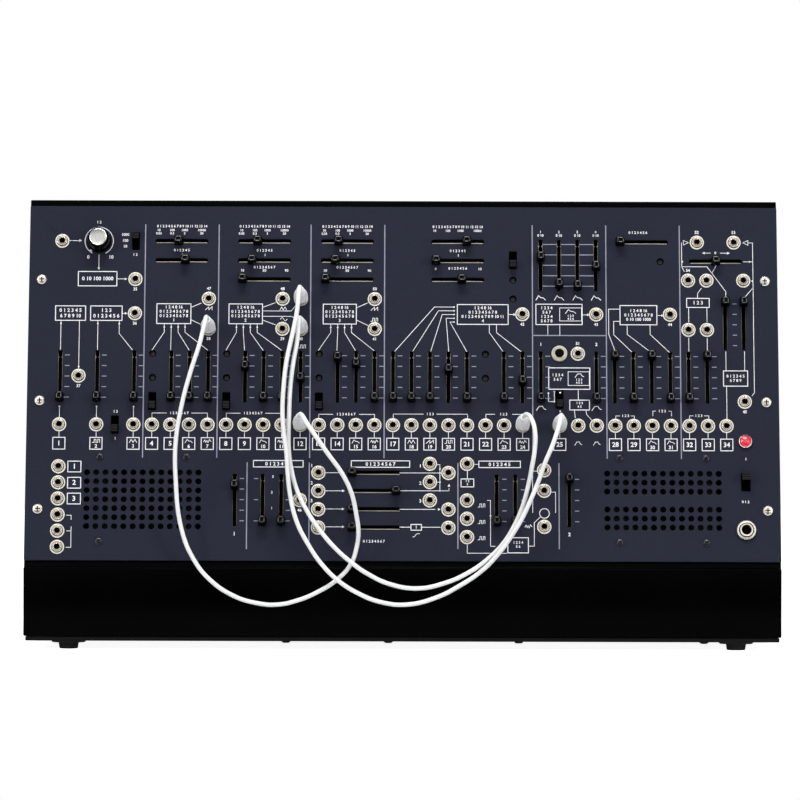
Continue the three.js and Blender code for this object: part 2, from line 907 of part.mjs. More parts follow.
// The cords' routes: points chosen by hand between the end of one plug and the end of the other,
// as shares of the case's width, depth and height.
const cordTable = [
  {
    name: "patch_cord_left",
    from: [8, rowLowerOutput],
    to: [13, rowPatch],
    route: [
      [-0.2597, -0.5038, 0.7344],
      [-0.2616, -0.5687, 0.7175],
      [-0.2674, -0.5954, 0.6753],
      [-0.2791, -0.6031, 0.6136],
      [-0.2907, -0.6031, 0.539],
      [-0.2984, -0.5954, 0.4578],
      [-0.2984, -0.5802, 0.3766],
      [-0.2907, -0.5649, 0.2662],
      [-0.2752, -0.5534, 0.2013],
      [-0.2539, -0.542, 0.1558],
      [-0.2229, -0.5344, 0.1201],
      [-0.1919, -0.5344, 0.1039],
      [-0.1647, -0.5344, 0.1006],
      [-0.1376, -0.5382, 0.1104],
      [-0.1105, -0.542, 0.1299],
      [-0.0853, -0.5496, 0.1575],
      [-0.0678, -0.5573, 0.1916],
      [-0.0601, -0.5725, 0.2305],
      [-0.0581, -0.5954, 0.263],
      [-0.061, -0.6183, 0.3019],
      [-0.0678, -0.6489, 0.3506],
      [-0.0814, -0.6718, 0.3961],
      [-0.0969, -0.687, 0.4318],
      [-0.1105, -0.6908, 0.4643],
      [-0.124, -0.6718, 0.4968],
      [-0.1337, -0.6069, 0.5205],
    ],
  },
  {
    name: "patch_cord_outer",
    from: [13, rowUpperOutput],
    to: [27, rowPatch],
    route: [
      [-0.1368, -0.4733, 0.8019],
      [-0.1376, -0.5382, 0.789],
      [-0.1395, -0.5725, 0.75],
      [-0.1453, -0.5992, 0.6981],
      [-0.1531, -0.6107, 0.6364],
      [-0.157, -0.6145, 0.5747],
      [-0.1581, -0.6145, 0.5195],
      [-0.1562, -0.6145, 0.4773],
      [-0.1531, -0.6145, 0.4416],
      [-0.1512, -0.6107, 0.3929],
      [-0.1473, -0.6031, 0.3377],
      [-0.1395, -0.5954, 0.2857],
      [-0.125, -0.5878, 0.237],
      [-0.1066, -0.5878, 0.1916],
      [-0.0853, -0.5878, 0.1558],
      [-0.0581, -0.584, 0.1266],
      [-0.0271, -0.584, 0.1071],
      [0.0058, -0.584, 0.1023],
      [0.0426, -0.5878, 0.1169],
      [0.0736, -0.5954, 0.1429],
      [0.1047, -0.6107, 0.1786],
      [0.126, -0.626, 0.2159],
      [0.1434, -0.6374, 0.2565],
      [0.157, -0.6489, 0.2955],
      [0.1676, -0.6603, 0.3344],
      [0.1773, -0.6679, 0.3734],
      [0.186, -0.687, 0.4156],
      [0.1957, -0.6985, 0.4545],
      [0.2035, -0.6794, 0.4935],
      [0.2074, -0.6145, 0.5195],
    ],
  },
  {
    name: "patch_cord_inner",
    from: [13, rowLowerOutput],
    to: [25, rowPatch],
    route: [
      [-0.1368, -0.4962, 0.7338],
      [-0.1376, -0.5496, 0.7175],
      [-0.1395, -0.5763, 0.6802],
      [-0.1444, -0.584, 0.6331],
      [-0.1483, -0.5878, 0.5747],
      [-0.1496, -0.5878, 0.5195],
      [-0.1502, -0.584, 0.4805],
      [-0.15, -0.5802, 0.4448],
      [-0.1461, -0.5763, 0.3961],
      [-0.1384, -0.5763, 0.3506],
      [-0.126, -0.5802, 0.3084],
      [-0.1105, -0.584, 0.2695],
      [-0.0911, -0.5878, 0.2305],
      [-0.0698, -0.5916, 0.1981],
      [-0.0465, -0.5916, 0.1705],
      [-0.0174, -0.5878, 0.1477],
      [0.0194, -0.5878, 0.138],
      [0.0543, -0.5916, 0.1494],
      [0.0853, -0.5954, 0.1721],
      [0.1105, -0.5916, 0.2013],
      [0.1318, -0.5939, 0.237],
      [0.1463, -0.6031, 0.276],
      [0.157, -0.6183, 0.3182],
      [0.1638, -0.6374, 0.3604],
      [0.1686, -0.6679, 0.4026],
      [0.1725, -0.6832, 0.4448],
      [0.1731, -0.6832, 0.4805],
      [0.1686, -0.6489, 0.5114],
      [0.1624, -0.5916, 0.5221],
    ],
  },
];

// Where a cord meets its plug, in the case's own frame.
function plugEnd([column, v]) {
  const end = plugSeat + plugBodyLength + cordEndGap;
  panelFrame.updateMatrixWorld(true);
  return panelFrame.localToWorld(new THREE.Vector3(columnX(column), v, end));
}

function cord({ from, to, route }) {
  const size = new THREE.Vector3(caseWidth, caseDepth, caseHeight);
  const points = route.map((share) => new THREE.Vector3(...share).multiply(size));
  const path = new THREE.CatmullRomCurve3([plugEnd(from), ...points, plugEnd(to)]);
  const corners = range(0, cordSides - 1).map((i) => {
    const corner = new THREE.Vector2(cordDiameter / 2, 0);
    return corner.rotateAround(new THREE.Vector2(), (2 * Math.PI * i) / cordSides);
  });
  const section = new THREE.Shape(corners);
  return solid(new THREE.ExtrudeGeometry(section, { steps: cordSteps, extrudePath: path }));
}

const synthesizer = new THREE.Group();
synthesizer.add(mesh("cabinet_shell", cabinetShell(), glossBlack));
synthesizer.add(mesh("base_and_rear_cover", baseAndRearCover(), rubberBlack));
synthesizer.add(mesh("rear_socket_board", rearSocketBoard(), boardGreen));
const tank = mesh("reverb_tank", reverbTank(), steel);
tank.position.set(0, tankY, shellBottom + seatGap);
synthesizer.add(tank);

panelFrame.add(mesh("front_panel", frontPanel(), slatePaint));
panelFrame.add(mesh("control_board", controlBoard(), boardGreen));
panelFrame.add(mesh("left_speaker", speaker(-1), paperBlack));
panelFrame.add(mesh("right_speaker", speaker(1), paperBlack));
panelFrame.add(mesh("power_lamp", powerLamp(), redJewel));
panelFrame.add(mesh("headphone_socket", phonesJack(), steel));
panelFrame.add(mesh("gain_knob", gainKnob(), blackPlastic));
panelFrame.add(mesh("start_button", startButton(), blackPlastic));
for (const s of switches) {
  panelFrame.add(mesh(s.name + "_lever", switchLever(s), blackPlastic));
}
for (const slide of slides) {
  panelFrame.add(mesh(slide.name + "_slider", lever(slide, canTop - stemDip), blackPlastic));
}
for (const { name, from, to } of cordTable) {
  for (const [end, [column, v]] of [["first", from], ["second", to]]) {
    const made = mesh(name + "_" + end + "_plug", plug(), whitePlastic);
    made.position.set(columnX(column), v, plugSeat);
    panelFrame.add(made);
  }
}
synthesizer.add(panelFrame);
for (const route of cordTable) {
  synthesizer.add(mesh(route.name, cord(route), whitePlastic));
}

export default synthesizer;
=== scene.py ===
# The looks of a table-top modular synthesizer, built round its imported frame.
# Metres, +Z up, the player on the -Y side. Panel coordinates are x across, v up the slope from the
# panel's lower edge, and n out of its face.
import json
import math

import bmesh
import bpy
from bpy.props import FloatProperty, FloatVectorProperty, PointerProperty
from mathutils import Matrix, Vector


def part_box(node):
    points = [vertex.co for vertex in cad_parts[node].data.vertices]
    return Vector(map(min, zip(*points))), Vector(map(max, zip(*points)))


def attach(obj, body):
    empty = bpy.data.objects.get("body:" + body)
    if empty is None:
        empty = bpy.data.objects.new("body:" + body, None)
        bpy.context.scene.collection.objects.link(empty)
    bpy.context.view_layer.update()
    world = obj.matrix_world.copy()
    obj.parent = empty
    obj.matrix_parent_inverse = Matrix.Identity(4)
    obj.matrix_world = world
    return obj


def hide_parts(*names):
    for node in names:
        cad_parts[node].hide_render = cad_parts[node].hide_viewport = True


bl_info = {
    "name": "Modular synthesizer finish",
    "version": (1, 0, 0),
    "blender": (4, 5, 0),
    "location": "View3D > Sidebar > Synthesizer",
    "description": "Dresses the packed synthesizer with its detailed pieces and finishes",
    "category": "Object",
}

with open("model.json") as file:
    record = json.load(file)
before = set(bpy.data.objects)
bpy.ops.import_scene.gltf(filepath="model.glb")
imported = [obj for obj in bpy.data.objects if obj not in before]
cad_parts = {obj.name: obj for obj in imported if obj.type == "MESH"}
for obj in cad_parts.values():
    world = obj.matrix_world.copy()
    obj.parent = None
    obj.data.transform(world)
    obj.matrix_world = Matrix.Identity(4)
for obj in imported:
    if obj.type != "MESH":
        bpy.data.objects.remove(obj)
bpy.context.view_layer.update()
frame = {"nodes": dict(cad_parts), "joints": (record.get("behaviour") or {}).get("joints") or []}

MM = 0.001
CASE = "case"

# The case, from the frame
shell_low, shell_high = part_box("cabinet_shell")
_, cover_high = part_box("base_and_rear_cover")
CASE_WIDTH = shell_high.x - shell_low.x
CASE_DEPTH = shell_high.y - shell_low.y
CASE_HEIGHT = shell_high.z
REAR_FACE = cover_high.y

# The panel leans back and stands on a ledge behind the plinth
LEAN = math.radians(12)
LEDGE = 3.2 * MM
SHEET = 2 * MM
SHELL_WALL = 1.5 * MM
panel_low, panel_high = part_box("front_panel")
PANEL_WIDTH = panel_high.x - panel_low.x
PANEL_FOOT = Vector((0, shell_low.y + LEDGE, panel_low.z + SHEET * math.sin(LEAN)))
PANEL_LENGTH = (panel_high.z - PANEL_FOOT.z) / math.cos(LEAN)
PANEL = Matrix.Translation(PANEL_FOOT) @ Matrix.Rotation(math.pi / 2 - LEAN, 4, "X")

# Control grid, as in the frame
PITCH = PANEL_WIDTH / 40.63
MIDDLE_COLUMN = 18.543
ROW_PITCH = PANEL_LENGTH * 0.0511
ROW_TOP = PANEL_LENGTH * 0.9002
ROW_SECOND = PANEL_LENGTH * 0.8455
ROW_THIRD = PANEL_LENGTH * 0.7916
ROW_UPPER_OUTPUT = PANEL_LENGTH * 0.7365
ROW_MIDDLE_OUTPUT = PANEL_LENGTH * 0.6943
ROW_LOWER_OUTPUT = PANEL_LENGTH * 0.6513
ROW_GATE = PANEL_LENGTH * 0.583
ROW_UPPER_TRIMMER = PANEL_LENGTH * 0.581
ROW_LOWER_TRIMMER = PANEL_LENGTH * 0.513
ROW_PATCH = PANEL_LENGTH * 0.38
ROW_ATTENUATORS = PANEL_LENGTH * 0.5162
ROW_ENVELOPE = PANEL_LENGTH * 0.8342
ROW_REVERB = PANEL_LENGTH * 0.6686
ROW_LOWER = PANEL_LENGTH * 0.1693
ROW_FOLLOWER_OUTPUT = PANEL_LENGTH * 0.517
ROW_REVERB_OUTPUT = PANEL_LENGTH * 0.4483
ROW_FILTER_TRIMMER = PANEL_LENGTH * 0.7382
ROW_GRILLE = PANEL_LENGTH * 0.1705
MULTIPLE_TOP = PANEL_LENGTH * 0.2621
MULTIPLE_PITCH = PANEL_LENGTH * 0.045
PROCESSOR_TOP = PANEL_LENGTH * 0.2461
ELECTRONIC_TOP = PANEL_LENGTH * 0.2545
ELECTRONIC_MIDDLE = PANEL_LENGTH * 0.197
ELECTRONIC_LOW = PANEL_LENGTH * 0.0965


def at_column(column):
    return (column - MIDDLE_COLUMN) * PITCH


def processor_row(step):
    return PROCESSOR_TOP - step * ROW_PITCH


def span(first, last):
    return list(range(first, last + 1))


ACROSS_SLOTS = [
    *[(column, row) for column in (6.5, 11, 15.5, 21.5) for row in (ROW_TOP, ROW_SECOND)],
    *[(column, ROW_THIRD) for column in (11, 15.5, 21.5)],
    (31.5, ROW_TOP),
    (35.5, ROW_SECOND),
    *[(17, processor_row(step)) for step in range(4)],
]
# Each attenuator's column and where its cap rests, as a share of half the travel
ATTENUATORS = [
    (0, -1), (2, -1), (4, -1), (6, -1), (7, -1), (8, -1), (10, 0.453), (11, -1), (12, -1),
    (13, -0.08), (15, 0.88), (16, 0.587), (17, -1), (18, -1), (19, -1), (20, -1), (21, 0.327),
    (22, -1), (24, -1), (25, -0.2), (30, 1), (31, -1), (32, 1), (33, -1), (34, -1), (35, 1),
]
UPRIGHT_SLOTS = [
    *[(column, ROW_ENVELOPE) for column in (26, 27, 28, 29)],
    *[(column, ROW_ATTENUATORS) for column in (26, 29)],
    *[(column, ROW_REVERB) for column in (36, 37)],
    *[(column, ROW_LOWER) for column in (9.5, 11, 12, 23.6, 24.6, 27.5)],
    *[(column, ROW_ATTENUATORS) for column, _ in ATTENUATORS],
]
PATCH_ROW = [0, 2, 4, *span(5, 25), *span(27, 36)]
JACKS = [
    (0, ROW_TOP),
    (4, ROW_THIRD),
    (4, ROW_MIDDLE_OUTPUT),
    (1, ROW_FOLLOWER_OUTPUT),
    *[(column, row) for column in (8, 12, 13, 17) for row in (ROW_UPPER_OUTPUT, ROW_LOWER_OUTPUT)],
    *[(column, ROW_MIDDLE_OUTPUT) for column in (25, 29, 33)],
    (28, ROW_GATE),
    *[(column, ROW_TOP) for column in (34.5, 36.5)],
    *[(column, ROW_THIRD) for column in (34, 35, 37)],
    *[(column, ROW_LOWER_OUTPUT) for column in (34, 35)],
    (37, ROW_REVERB_OUTPUT),
    (13, processor_row(1.5)),
    *[(column, ROW_PATCH) for column in PATCH_ROW],
    *[(0, MULTIPLE_TOP - step * MULTIPLE_PITCH) for step in range(6)],
    *[(14, processor_row(step)) for step in range(4)],
    *[(20, processor_row(step)) for step in (-0.5, 0.5, 1.5)],
    *[(21, processor_row(step)) for step in (0, 2, 3)],
    *[(22, processor_row(step)) for step in (-0.5, 1.5, 2.5, 3.5)],
    *[(26.15, row) for row in (ELECTRONIC_TOP, ELECTRONIC_MIDDLE, ELECTRONIC_LOW)],
]
TRIMMERS = [
    *[(column, row) for column in (5, 9, 14, 23) for row in (ROW_UPPER_TRIMMER, ROW_LOWER_TRIMMER)],
    (24.5, ROW_THIRD),
    (24.5, ROW_FILTER_TRIMMER),
    (32.5, ROW_SECOND),
]
SMALL_SWITCHES = [
    "range_switch",
    "ring_modulator_switch",
    "vco1_range_switch",
    "vco2_range_switch",
    "vco3_range_switch",
    "filter_mode_switch",
    "gate_switch",
]
SLIDERS = sorted(name for name in frame["nodes"] if name.endswith("_slider"))

# Slots, caps and switches
SLOT_LENGTH = 36.5 * MM
SLOT_WIDTH = 3.3 * MM
HALF_TRAVEL = 15 * MM
CAP_RIM = 7.6 * MM
RIB_RISE = 0.4 * MM
WINDOW_LENGTH = 12.6 * MM
WINDOW_CORNER = 0.5 * MM
WINDOW_WIDTH = 5.4 * MM
POWER_WINDOW_WIDTH = 6.4 * MM
SWITCH_HALF_TRAVEL = 3.3 * MM
# Which end of its travel each lever rests at: 1 for the upper, -1 for the lower
SWITCH_RESTS = {name: -1 for name in SMALL_SWITCHES}
SWITCH_RESTS["range_switch"] = 1
SWITCH_RESTS["power_switch"] = 1

# Sockets, grilles and screws
GRILLE_X = CASE_WIDTH * 0.3446
GRILLE_SIDE = PANEL_LENGTH * 0.2734
GRILLE_STEP_X = GRILLE_SIDE * 0.0934
GRILLE_STEP_V = GRILLE_SIDE * 0.0919
SOCKET_HOLE = 3.3 * MM
TRIMMER_HOLE = 2.5 * MM
BUTTON_HOLE = 3.1 * MM
SHAFT_HOLE = 3.6 * MM
LAMP_HOLE = 3.7 * MM
HEADPHONE_HOLE = 5 * MM
PANEL_SCREW_X = CASE_WIDTH * 249.2 / 516
SPEAKER_SCREW_X = 29.6 * MM
SPEAKER_SCREW_V = 29.3 * MM
WELD = 0.001 * MM

# The row of sockets on the rear cover, and its vents
REAR_SOCKET_Z = 36 * MM
ROUND_SOCKET_SHARES = (0.2132, 0.2713)
DATA_PORT_SHARE = 0.3295
INLET_SHARE = 0.3876
VENT_STEP = 8 * MM

# The panel's print: widths of its lines, and how it lies on the panel
LINE = 0.4 * MM
BORDER = 0.58 * MM
TICK = 0.6 * MM
HEAVY = 0.75 * MM
FRAME_INSET = 0.6 * MM
FRAME_DROP = 0.3 * MM
ARROW = 1.8 * MM
SMALL_DIGIT = 1.75 * MM
FRONT_SEAT = 0.05 * MM
INK = 0.05 * MM
INK_MIDDLE = INK / 2 + FRONT_SEAT / 5

# The camera, the light and the paper of the stage
CAMERA_PLACE = Vector((-2.04, -3265.5, 170.2)) * MM
CAMERA_LENS = 211.7
CAMERA_ROLL = math.radians(0.155)
AMBIENT_STRENGTH = 0.46
DARK_ROOM = 0.012
PAPER_LIFT = 0.93
PAPER_MIRRORED_LIFT = 0.15

# Plugs and cords
PLUG_SEAT = 2.6 * MM
PLUG_BODY = 26 * MM
CORD_DIAMETER = 3 * MM
CORD_GAP = 0.35 * MM
CORD_IN_PLUG = 4 * MM

# The cords' routes: points given as shares of the case's width, depth and height
CORDS = {
    "patch_cord_left": {
        "from": (8, ROW_LOWER_OUTPUT),
        "to": (13, ROW_PATCH),
        "length": 438.6 * MM,
        "route": [
            (-0.2597, -0.5038, 0.7344), (-0.2616, -0.5687, 0.7175), (-0.2674, -0.5954, 0.6753),
            (-0.2791, -0.6031, 0.6136), (-0.2907, -0.6031, 0.539), (-0.2984, -0.5954, 0.4578),
            (-0.2984, -0.5802, 0.3766), (-0.2907, -0.5649, 0.2662), (-0.2752, -0.5534, 0.2013),
            (-0.2539, -0.542, 0.1558), (-0.2229, -0.5344, 0.1201), (-0.1919, -0.5344, 0.1039),
            (-0.1647, -0.5344, 0.1006), (-0.1376, -0.5382, 0.1104), (-0.1105, -0.542, 0.1299),
            (-0.0853, -0.5496, 0.1575), (-0.0678, -0.5573, 0.1916), (-0.0601, -0.5725, 0.2305),
            (-0.0581, -0.5954, 0.263), (-0.061, -0.6183, 0.3019), (-0.0678, -0.6489, 0.3506),
            (-0.0814, -0.6718, 0.3961), (-0.0969, -0.687, 0.4318), (-0.1105, -0.6908, 0.4643),
            (-0.124, -0.6718, 0.4968), (-0.1337, -0.6069, 0.5205),
        ],
    },
    "patch_cord_outer": {
        "from": (13, ROW_UPPER_OUTPUT),
        "to": (27, ROW_PATCH),
        "length": 468.4 * MM,
        "route": [
            (-0.1368, -0.4733, 0.8019), (-0.1376, -0.5382, 0.789), (-0.1395, -0.5725, 0.75),
            (-0.1453, -0.5992, 0.6981), (-0.1531, -0.6107, 0.6364), (-0.157, -0.6145, 0.5747),
            (-0.1581, -0.6145, 0.5195), (-0.1562, -0.6145, 0.4773), (-0.1531, -0.6145, 0.4416),
            (-0.1512, -0.6107, 0.3929), (-0.1473, -0.6031, 0.3377), (-0.1395, -0.5954, 0.2857),
            (-0.125, -0.5878, 0.237), (-0.1066, -0.5878, 0.1916), (-0.0853, -0.5878, 0.1558),
            (-0.0581, -0.584, 0.1266), (-0.0271, -0.584, 0.1071), (0.0058, -0.584, 0.1023),
            (0.0426, -0.5878, 0.1169), (0.0736, -0.5954, 0.1429), (0.1047, -0.6107, 0.1786),
            (0.126, -0.626, 0.2159), (0.1434, -0.6374, 0.2565), (0.157, -0.6489, 0.2955),
            (0.1676, -0.6603, 0.3344), (0.1773, -0.6679, 0.3734), (0.186, -0.687, 0.4156),
            (0.1957, -0.6985, 0.4545), (0.2035, -0.6794, 0.4935), (0.2074, -0.6145, 0.5195),
        ],
    },
    "patch_cord_inner": {
        "from": (13, ROW_LOWER_OUTPUT),
        "to": (25, ROW_PATCH),
        "length": 416.5 * MM,
        "route": [
            (-0.1368, -0.4962, 0.7338), (-0.1376, -0.5496, 0.7175), (-0.1395, -0.5763, 0.6802),
            (-0.1444, -0.584, 0.6331), (-0.1483, -0.5878, 0.5747), (-0.1496, -0.5878, 0.5195),
            (-0.1502, -0.584, 0.4805), (-0.15, -0.5802, 0.4448), (-0.1461, -0.5763, 0.3961),
            (-0.1384, -0.5763, 0.3506), (-0.126, -0.5802, 0.3084), (-0.1105, -0.584, 0.2695),
            (-0.0911, -0.5878, 0.2305), (-0.0698, -0.5916, 0.1981), (-0.0465, -0.5916, 0.1705),
            (-0.0174, -0.5878, 0.1477), (0.0194, -0.5878, 0.138), (0.0543, -0.5916, 0.1494),
            (0.0853, -0.5954, 0.1721), (0.1105, -0.5916, 0.2013), (0.1318, -0.5939, 0.237),
            (0.1463, -0.6031, 0.276), (0.157, -0.6183, 0.3182), (0.1638, -0.6374, 0.3604),
            (0.1686, -0.6679, 0.4026), (0.1725, -0.6832, 0.4448), (0.1731, -0.6832, 0.4805),
            (0.1686, -0.6489, 0.5114), (0.1624, -0.5916, 0.5221),
        ],
    },
}


def linear(code):
    """A colour written as sRGB hex, as the linear RGBA that shaders use."""
    channels = [int(code[i : i + 2], 16) / 255 for i in (0, 2, 4)]
    return (*[c / 12.92 if c <= 0.04045 else ((c + 0.055) / 1.055) ** 2.4 for c in channels], 1)


def chosen(name, share=1.0):
    """A colour that the user can change, or a darker share of it."""
    return (*[c * share for c in getattr(bpy.context.scene.synthesizer_sizes, name)], 1)


def node(tree, kind, inputs=None, **settings):
    """Adds a node with its settings, and joins or fills its inputs."""
    made = tree.nodes.new(kind)
    for setting, value in settings.items():
        setattr(made, setting, value)
    for socket, source in (inputs or {}).items():
        if isinstance(source, bpy.types.NodeSocket):
            tree.links.new(source, made.inputs[socket])
        else:
            made.inputs[socket].default_value = source
    return made


# Materials
def bare_material(name, **values):
    """A new material with its shader's own sockets set, and the places of its pattern."""
    material = bpy.data.materials.new(name)
    material.use_nodes = True
    tree = material.node_tree
    shader = tree.nodes["Principled BSDF"]
    for socket, value in values.items():
        shader.inputs[socket.replace("_", " ").title().replace("Ior", "IOR")].default_value = value
    place = node(tree, "ShaderNodeTexCoord").outputs["Object"]
    return material, tree, shader, place


def mottle(tree, place, size, dark, light, detail=3.0):
    """Drifts the colour between two shades over patches of a size. Gives pattern and colour."""
    noise = node(
        tree,
        "ShaderNodeTexNoise",
        {"Vector": place, "Scale": 1 / size, "Detail": detail, "Roughness": 0.55},
    )
    shade = node(
        tree,
        "ShaderNodeMix",
        {"Factor": noise.outputs["Fac"], "A": dark, "B": light},
        data_type="RGBA",
    )
    return noise.outputs["Fac"], shade.outputs[2]


def dress(tree, shader, place, colour, gloss=None, pattern=None, raised=None):
    """Joins a colour to the shader, with a wandering roughness and a relief where they are given.

    gloss holds a patch size with the least and the most roughness, as handling and moulding leave
    it. raised holds the strength and the height by which the pattern stands up.
    """
    tree.links.new(colour, shader.inputs["Base Color"])
    if gloss:
        size, smooth, rough = gloss
        noise = node(
            tree,
            "ShaderNodeTexNoise",
            {"Vector": place, "Scale": 1 / size, "Detail": 4.0, "Roughness": 0.6},
        )
        limits = {"From Min": 0.3, "From Max": 0.7, "To Min": smooth, "To Max": rough}
        spread = node(tree, "ShaderNodeMapRange", {"Value": noise.outputs["Fac"], **limits})
        tree.links.new(spread.outputs["Result"], shader.inputs["Roughness"])
    if raised:
        strength, height = raised
        bump = node(
            tree, "ShaderNodeBump", {"Height": pattern, "Strength": strength, "Distance": height}
        )
        tree.links.new(bump.outputs["Normal"], shader.inputs["Normal"])


def mottled(name, patches, gloss=None, raised=None, grain=None, **values):
    """A material of one drifting colour, whose relief follows its patches or a grain of its own.

    patches holds a size with the dark and the light shade, and grain a size and a detail.
    """
    material, tree, shader, place = bare_material(name, **values)
    pattern, colour = mottle(tree, place, *patches)
    if grain:
        size, detail = grain
        grains = node(
            tree, "ShaderNodeTexNoise", {"Vector": place, "Scale": 1 / size, "Detail": detail}
        )
        pattern = grains.outputs["Fac"]
    dress(tree, shader, place, colour, gloss, pattern, raised)
    return material


def slate_powder_coat():
    # Powder-coated steel: a matt skin with a fine pebble. The real grain is near 0.3 mm and is
    # drawn at 1.2 mm so that it shows.
    material, tree, shader, place = bare_material("slate_powder_coat", specular_ior_level=0.05)
    shades = chosen("panel_colour", 0.74), chosen("panel_colour")
    drift = mottle(tree, place, 90 * MM, *shades)[1]
    grain = node(
        tree, "ShaderNodeTexNoise", {"Vector": place, "Scale": 1 / (1.2 * MM), "Detail": 2.0}
    ).outputs["Fac"]
    speck = node(
        tree,
        "ShaderNodeMix",
        {"Factor": grain, "A": chosen("panel_colour", 0.64), "B": drift},
        data_type="RGBA",
    )
    dress(tree, shader, place, speck.outputs[2], (25 * MM, 0.5, 0.66), grain, (0.35, 0.12 * MM))
    return material


def black_enamel():
    # Stoved gloss enamel on steel: near black with long, slightly wavy reflections
    return mottled(
        "black_enamel",
        (60 * MM, linear("010101"), linear("020202")),
        gloss=(40 * MM, 0.16, 0.3),
        grain=(4 * MM, 2.0),
        raised=(0.05, 0.1 * MM),
        specular_ior_level=0.025,
    )


def satin_enamel():
    # Satin black paint on the rear cover and base: soft sheen and a faint grain
    return mottled(
        "satin_enamel",
        (35 * MM, linear("060607"), linear("0c0c0d")),
        gloss=(15 * MM, 0.38, 0.52),
        grain=(1.5 * MM, 2.0),
        raised=(0.25, 0.1 * MM),
        specular_ior_level=0.12,
    )


def screen_ink(name, setting):
    # Silk-screened ink: flat and chalky, thinner here and there where the mesh let less through
    return mottled(
        name,
        (3 * MM, chosen(setting, 0.72), chosen(setting)),
        raised=(0.2, 0.02 * MM),
        roughness=0.7,
        specular_ior_level=0.2,
    )


def white_ink():
    # The ink of the lines, frames and numbers: bright white
    return screen_ink("white_screen_ink", "print_colour")


def lavender_ink():
    # The ink of the scales and of the lines between the panel's parts: a greyed lavender
    return screen_ink("lavender_screen_ink", "scale_colour")


def nickel_plate():
    # Nickel-plated brass: a warm, bright metal with fine turning marks and a little tarnish
    return mottled(
        "nickel_plate",
        (5 * MM, linear("e6e1d2"), linear("fffbf0")),
        gloss=(2 * MM, 0.2, 0.32),
        raised=(0.08, 0.05 * MM),
        metallic=1.0,
    )


def zinc_strip():
    # Zinc-plated spring steel in the slots: pale, dull and streaked along its length
    material, tree, shader, place = bare_material("zinc_strip", metallic=0.85)
    streak = node(tree, "ShaderNodeMapping", {"Vector": place, "Scale": (0.2, 1.0, 1.0)})
    shades = linear("7a7467"), linear("b3ac9c")
    colour = mottle(tree, streak.outputs["Vector"], 3 * MM, *shades)[1]
    dress(tree, shader, place, colour, (4 * MM, 0.4, 0.58))
    return material


def bronze_leaf():
    # Phosphor bronze contact leaf: a brown-gold glint deep in each socket
    patches = 1.5 * MM, linear("7a4f24"), linear("c08a48")
    return mottled("bronze_leaf", patches, gloss=(1.5 * MM, 0.25, 0.45), metallic=1.0)


def black_abs():
    # Moulded black ABS: nearly no shine from the mould, so that it reads as a plain black
    return mottled(
        "black_abs",
        (6 * MM, linear("020202"), linear("050506")),
        gloss=(3 * MM, 0.12, 0.22),
        raised=(0.1, 0.05 * MM),
        specular_ior_level=0.06,
    )


def polished_abs():
    # The same ABS where fingertips have polished it: the rims of the caps' dishes and the ribs of
    # the levers, which catch the light
    patches = 2 * MM, linear("020202"), linear("060607")
    return mottled("polished_abs", patches, gloss=(2 * MM, 0.12, 0.24), specular_ior_level=0.65)


def brown_phenolic():
    # Dark brown phenolic of the trimmers' rotors and of the sockets' rings and sleeves: dull, and
    # just visible between brighter pieces
    patches = 1.5 * MM, linear("1c1716"), linear("2c2524")
    return mottled("brown_phenolic", patches, gloss=(2 * MM, 0.4, 0.55), specular_ior_level=0.3)


def black_oxide():
    # Blackened steel screws: dark metal that still glints at its edges
    patches = 2 * MM, linear("2c2c30"), linear("48484e")
    return mottled("black_oxide", patches, gloss=(2 * MM, 0.25, 0.4), metallic=1.0)


def socket_liner():
    # Glass-filled nylon lining the sockets, dead black so that it also stands in for the shade deep in their
    # bores.
    # In the screw heads the same black is painted shade at the bottom of each recess
    patches = 1 * MM, linear("030303"), linear("080808")
    return mottled("socket_liner", patches, gloss=(1 * MM, 0.55, 0.75), specular_ior_level=0.15)


def rubber():
    # Moulded rubber feet: soft grey-black with dust in the grain
    return mottled(
        "rubber",
        (2 * MM, linear("101010"), linear("1b1b1b")),
        gloss=(3 * MM, 0.7, 0.9),
        raised=(0.3, 0.1 * MM),
        specular_ior_level=0.3,
    )


def red_jewel():
    # Cut red acrylic over a lit lamp: deep red with bright facets
    material, tree, shader, place = bare_material(
        "red_jewel", ior=1.49, coat_weight=0.6, emission_strength=0.35
    )
    shades = chosen("lamp_colour", 0.45), chosen("lamp_colour")
    colour = mottle(tree, place, 2 * MM, *shades)[1]
    tree.links.new(colour, shader.inputs["Emission Color"])
    dress(tree, shader, place, colour, (2 * MM, 0.05, 0.15))
    return material


def spun_aluminium():
    # Spun aluminium knob disc: rings of fine turning marks round the knob's own axis. The real
    # marks are near 0.1 mm apart and are drawn at 0.5 mm so that they show.
    material, tree, shader, place = bare_material("spun_aluminium", metallic=1.0)
    turned_marks = node(
        tree,
        "ShaderNodeMapping",
        {"Vector": place, "Location": knob_axis_place(), "Rotation": (LEAN - math.pi / 2, 0, 0)},
    )
    rings = node(
        tree,
        "ShaderNodeTexWave",
        {
            "Vector": turned_marks.outputs["Vector"],
            "Scale": 1 / (3.2 * MM),
            "Distortion": 0.6,
            "Detail": 2.0,
        },
        wave_type="RINGS",
        rings_direction="Z",
    ).outputs["Fac"]
    tone = node(
        tree,
        "ShaderNodeMix",
        {"Factor": rings, "A": linear("a9a9a5"), "B": linear("e2e2de")},
        data_type="RGBA",
    )
    dress(tree, shader, place, tone.outputs[2], (3 * MM, 0.22, 0.36), rings, (0.15, 0.03 * MM))
    return material


def white_pvc():
    # Plasticised PVC jacket: bright white, soft sheen, the faintest ripple from the extruder
    return mottled(
        "white_pvc",
        (8 * MM, chosen("cord_colour", 0.88), chosen("cord_colour")),
        gloss=(6 * MM, 0.38, 0.52),
        raised=(0.1, 0.05 * MM),
        specular_ior_level=0.4,
    )


